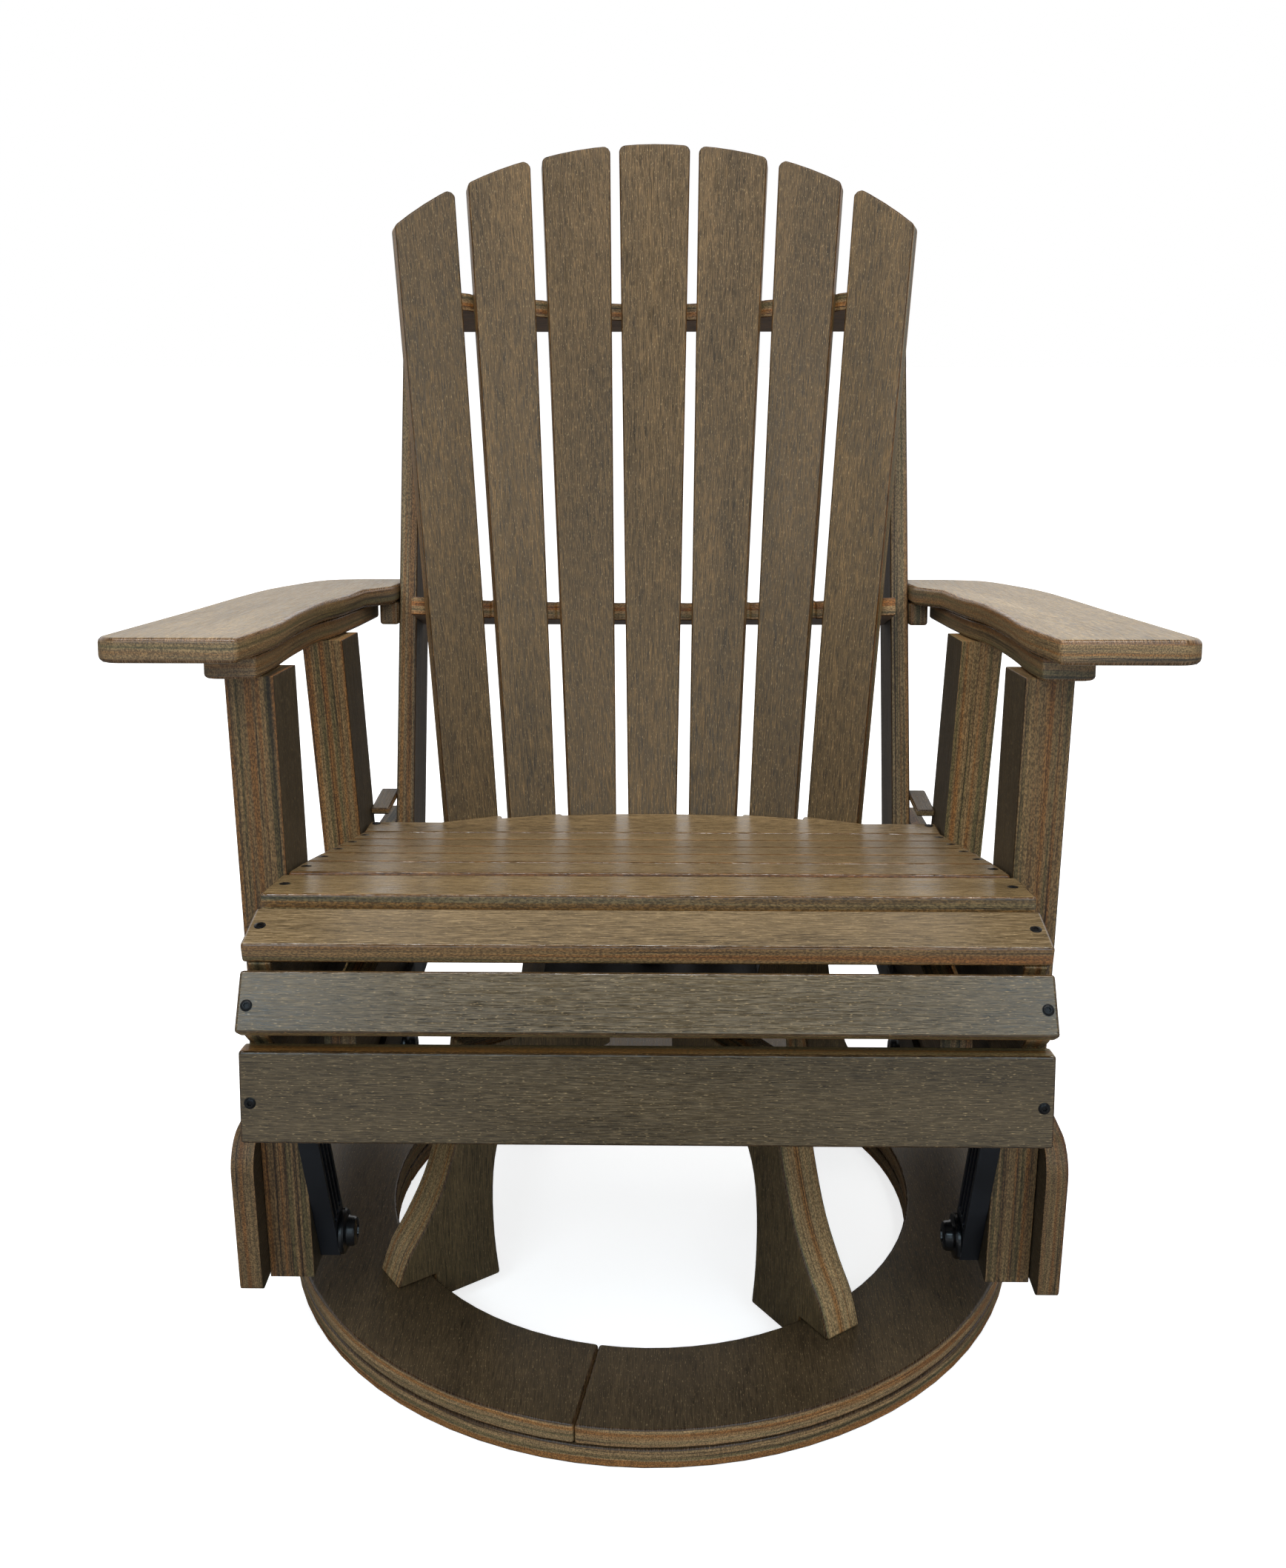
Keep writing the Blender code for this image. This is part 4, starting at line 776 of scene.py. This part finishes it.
def make_swivel_fasteners():
    bolts = bmesh.new()
    for quarter in range(4):
        angle = SWIVEL_TURN + math.radians(45 + 90 * quarter)
        for reach in PLATE_BOLT_REACHES:
            point = (reach * math.cos(angle), reach * math.sin(angle), PLATE_TOP)
            hex_head(bolts, point, ALONG_Z, 9.5 * MM, 4.5 * MM, 1.25)
    turn_profile(bolts, Matrix.Translation((0, 0, RACE_BOTTOM)), RACE_LIP, RACE_SEGMENTS, True)
    hex_head(bolts, (0, 0, SPINDLE_TOP), ALONG_Z, 27.0 * MM, 11.0 * MM, 1.3)
    finish_piece("swivel_base_bolts", bolts, screw_black, "base")

    bolts = bmesh.new()
    turn_profile(bolts, Matrix.Translation((0, 0, UPPER_RACE_BOTTOM)), UPPER_RACE_LIP, RACE_SEGMENTS, True)
    for _, side in SIDES:
        for y in (-TUBE_Y, TUBE_Y):
            for offset in (-TUBE_BOLT_OFFSET, TUBE_BOLT_OFFSET):
                inside = (side * END_PLATE_INSIDE, y + offset, FRAME_BOLT_Z)
                outside = (side * FRAME_BOARD_OUTSIDE, y + offset, FRAME_BOLT_Z)
                hex_head(bolts, inside, (-side, 0, 0), 8.0 * MM, 4.0 * MM, 1.15)
                dome_head(bolts, outside, (side, 0, 0), 7.5 * MM, 3.0 * MM)
    finish_piece("glider_frame_bolts", bolts, screw_black, "glider_frame")


make_seat_screws()
make_back_screws()
make_side_fasteners()
make_pivot_caps()
make_swivel_fasteners()


# ---- Floor, light and camera

def soft_light(name, place, aim, width, height, power, color, mirrored):
    """A rectangular light; the boards and bolts reflect it only if it is mirrored."""
    lamp = bpy.data.lights.new(name, "AREA")
    lamp.shape = "RECTANGLE"
    lamp.size = width
    lamp.size_y = height
    lamp.energy = power
    lamp.color = color
    holder = bpy.data.objects.new(name, lamp)
    bpy.context.scene.collection.objects.link(holder)
    holder.location = place
    holder.visible_glossy = mirrored
    holder.rotation_euler = (Vector(aim) - Vector(place)).to_track_quat("-Z", "Y").to_euler()


WHITE = (1.0, 1.0, 1.0, 1.0)
FLOOR_GREY = (0.62, 0.62, 0.62, 1.0)
MIRRORED_FLOOR_GREY = (0.08, 0.08, 0.08, 1.0)
# Glow of the floor by distance from the chair's middle; in reflections, by X and by Y in front of the chair
FLOOR_GLOW = (0.6, 1.8, 0.74, 1.0)
BESIDE_GLOW = (0.10, 0.50, 0.05, 0.5)
FRONT_RANGE = (-0.5, -0.8)


def make_floor_material():
    """Pale floor: lit and shadowed for every ray; the camera and reflections see it lifted towards white."""
    material, tree, principled = new_material("pale_floor", Emission_Color=WHITE, Roughness=0.9)
    rays = tree.add("LightPath").outputs
    spot = tree.add("TexCoord").outputs["Object"]
    far = tree.remap(tree.vector("LENGTH", spot, None, 1), *FLOOR_GLOW)
    parts = tree.add("SeparateXYZ")
    tree.plug(parts.inputs[0], spot)
    beside = tree.remap(tree.math("ABSOLUTE", parts.outputs["X"]), *BESIDE_GLOW)
    beside = tree.math("MULTIPLY", beside, tree.remap(parts.outputs["Y"], *FRONT_RANGE))
    glow = tree.math("MULTIPLY", rays["Is Camera Ray"], far)
    glow = tree.math("MULTIPLY_ADD", rays["Is Glossy Ray"], beside, glow)
    tree.plug(principled.inputs["Emission Strength"], glow)
    tree.plug(principled.inputs["Base Color"], tree.mix(rays["Is Glossy Ray"], FLOOR_GREY, MIRRORED_FLOOR_GREY))
    return material


# Levels of the world: light on the boards, then what reflections see of the walls and overhead, as grey
AMBIENT = (0.32, 0.32, 0.32, 1.0)
FRONT_WALL = 0.55
REAR_WALL = 1.0
OVERHEAD = 0.12
FRONT_TINT = (0.80, 0.92, 1.0, 1.0)
# By direction: front turns to rear along Y, and each wall ends along Z
FRONT_TO_REAR = (-0.1, 0.2)
FRONT_WALL_END = (0.32, 0.54)
REAR_WALL_END = (0.45, 0.85)


def make_world():
    """White to the camera, soft light to the boards; reflections see bright walls low in front and behind."""
    world = bpy.data.worlds.new("studio_world")
    bpy.context.scene.world = world
    world.use_nodes = True
    tree = Shader(world.node_tree)
    background = world.node_tree.nodes["Background"]
    rays = tree.add("LightPath").outputs
    parts = tree.add("SeparateXYZ")
    tree.plug(parts.inputs[0], tree.add("TexCoord").outputs["Generated"])
    behind = tree.remap(parts.outputs["Y"], *FRONT_TO_REAR)
    front_wall = tree.remap(parts.outputs["Z"], *FRONT_WALL_END, FRONT_WALL, OVERHEAD)
    rear_wall = tree.remap(parts.outputs["Z"], *REAR_WALL_END, REAR_WALL, OVERHEAD)
    walls = tree.mix(1.0, tree.mix(behind, front_wall, rear_wall), tree.mix(behind, FRONT_TINT, WHITE), "MULTIPLY")
    seen = tree.mix(rays["Is Glossy Ray"], AMBIENT, walls)
    straight = tree.math("MAXIMUM", rays["Is Camera Ray"], rays["Is Transmission Ray"])
    tree.plug(background.inputs["Color"], tree.mix(straight, seen, WHITE))


FLOOR_SIZE = 30.0
COOL_LIGHT = (0.66, 0.86, 1.0)
PLAIN_LIGHT = (1.0, 1.0, 1.0)
# Each light: place, aim, width and height in metres, watts, color, and whether it shows in reflections
LIGHTS = {
    "key_soft_light": ((-1.0, -2.2, 2.8), (0, 0, 0.6), 1.8, 1.8, 30, PLAIN_LIGHT, False),
    "fill_soft_light": ((1.4, -1.8, 2.6), (0, 0, 0.6), 1.8, 1.8, 22, PLAIN_LIGHT, False),
    "top_soft_light": ((0, 0.2, 3.0), (0, 0.0, 0.3), 2.4, 2.4, 54, PLAIN_LIGHT, False),
    "camera_side_soft_light": ((0, -3.2, 1.62), (0, 0, 0.6), 2.6, 1.1, 20, COOL_LIGHT, True),
    "edge_strip_soft_light": ((0, -0.5, 2.8), (0, -0.4, 0.5), 2.8, 0.24, 40, PLAIN_LIGHT, True),
    "left_cool_soft_light": ((-1.35, -2.3, 2.45), (0, -0.3, 0.45), 1.0, 1.0, 15, COOL_LIGHT, True),
    "right_cool_soft_light": ((1.35, -2.3, 2.45), (0, -0.3, 0.45), 1.0, 1.0, 15, COOL_LIGHT, True),
    "rear_soft_light": ((0.8, 2.6, 2.4), (0, 0, 0.6), 1.8, 1.8, 20, PLAIN_LIGHT, False),
}


def make_studio():
    bpy.ops.mesh.primitive_plane_add(size=FLOOR_SIZE, location=(0, 0, 0))
    floor = bpy.context.object
    floor.name = "studio_floor"
    floor.data.materials.append(make_floor_material())
    make_world()
    for name, settings in LIGHTS.items():
        soft_light(name, *settings)


# The camera that the photo was solved to, and the picture's own measures
LONG_SIDE_PX = 2117
FOCAL_PX = 2048
PRINCIPAL_ABOVE_CENTER_PX = 112.5
SENSOR_MM = 36.0
CAMERA_PLACE = (0.0138, -1.3639, 0.9240)
CAMERA_PITCH = 0.2724
CAMERA_YAW = -0.0157
CAMERA_ROLL = -0.0015


def make_camera():
    data = bpy.data.cameras.new("camera")
    camera = bpy.data.objects.new("camera", data)
    bpy.context.scene.collection.objects.link(camera)
    bpy.context.scene.camera = camera
    data.sensor_width = SENSOR_MM
    data.lens = FOCAL_PX * SENSOR_MM / LONG_SIDE_PX
    data.shift_y = -PRINCIPAL_ABOVE_CENTER_PX / LONG_SIDE_PX
    ahead = Vector((
        math.sin(CAMERA_YAW) * math.cos(CAMERA_PITCH),
        math.cos(CAMERA_YAW) * math.cos(CAMERA_PITCH),
        -math.sin(CAMERA_PITCH),
    ))
    right = Vector((math.cos(CAMERA_YAW), -math.sin(CAMERA_YAW), 0))
    up = right.cross(ahead)
    level = Matrix((right, up, -ahead)).transposed()
    turn = level @ Matrix.Rotation(CAMERA_ROLL, 3, "Z")
    camera.matrix_world = Matrix.Translation(CAMERA_PLACE) @ turn.to_4x4()


make_studio()
make_camera()
bpy.context.scene.view_settings.view_transform = "Standard"
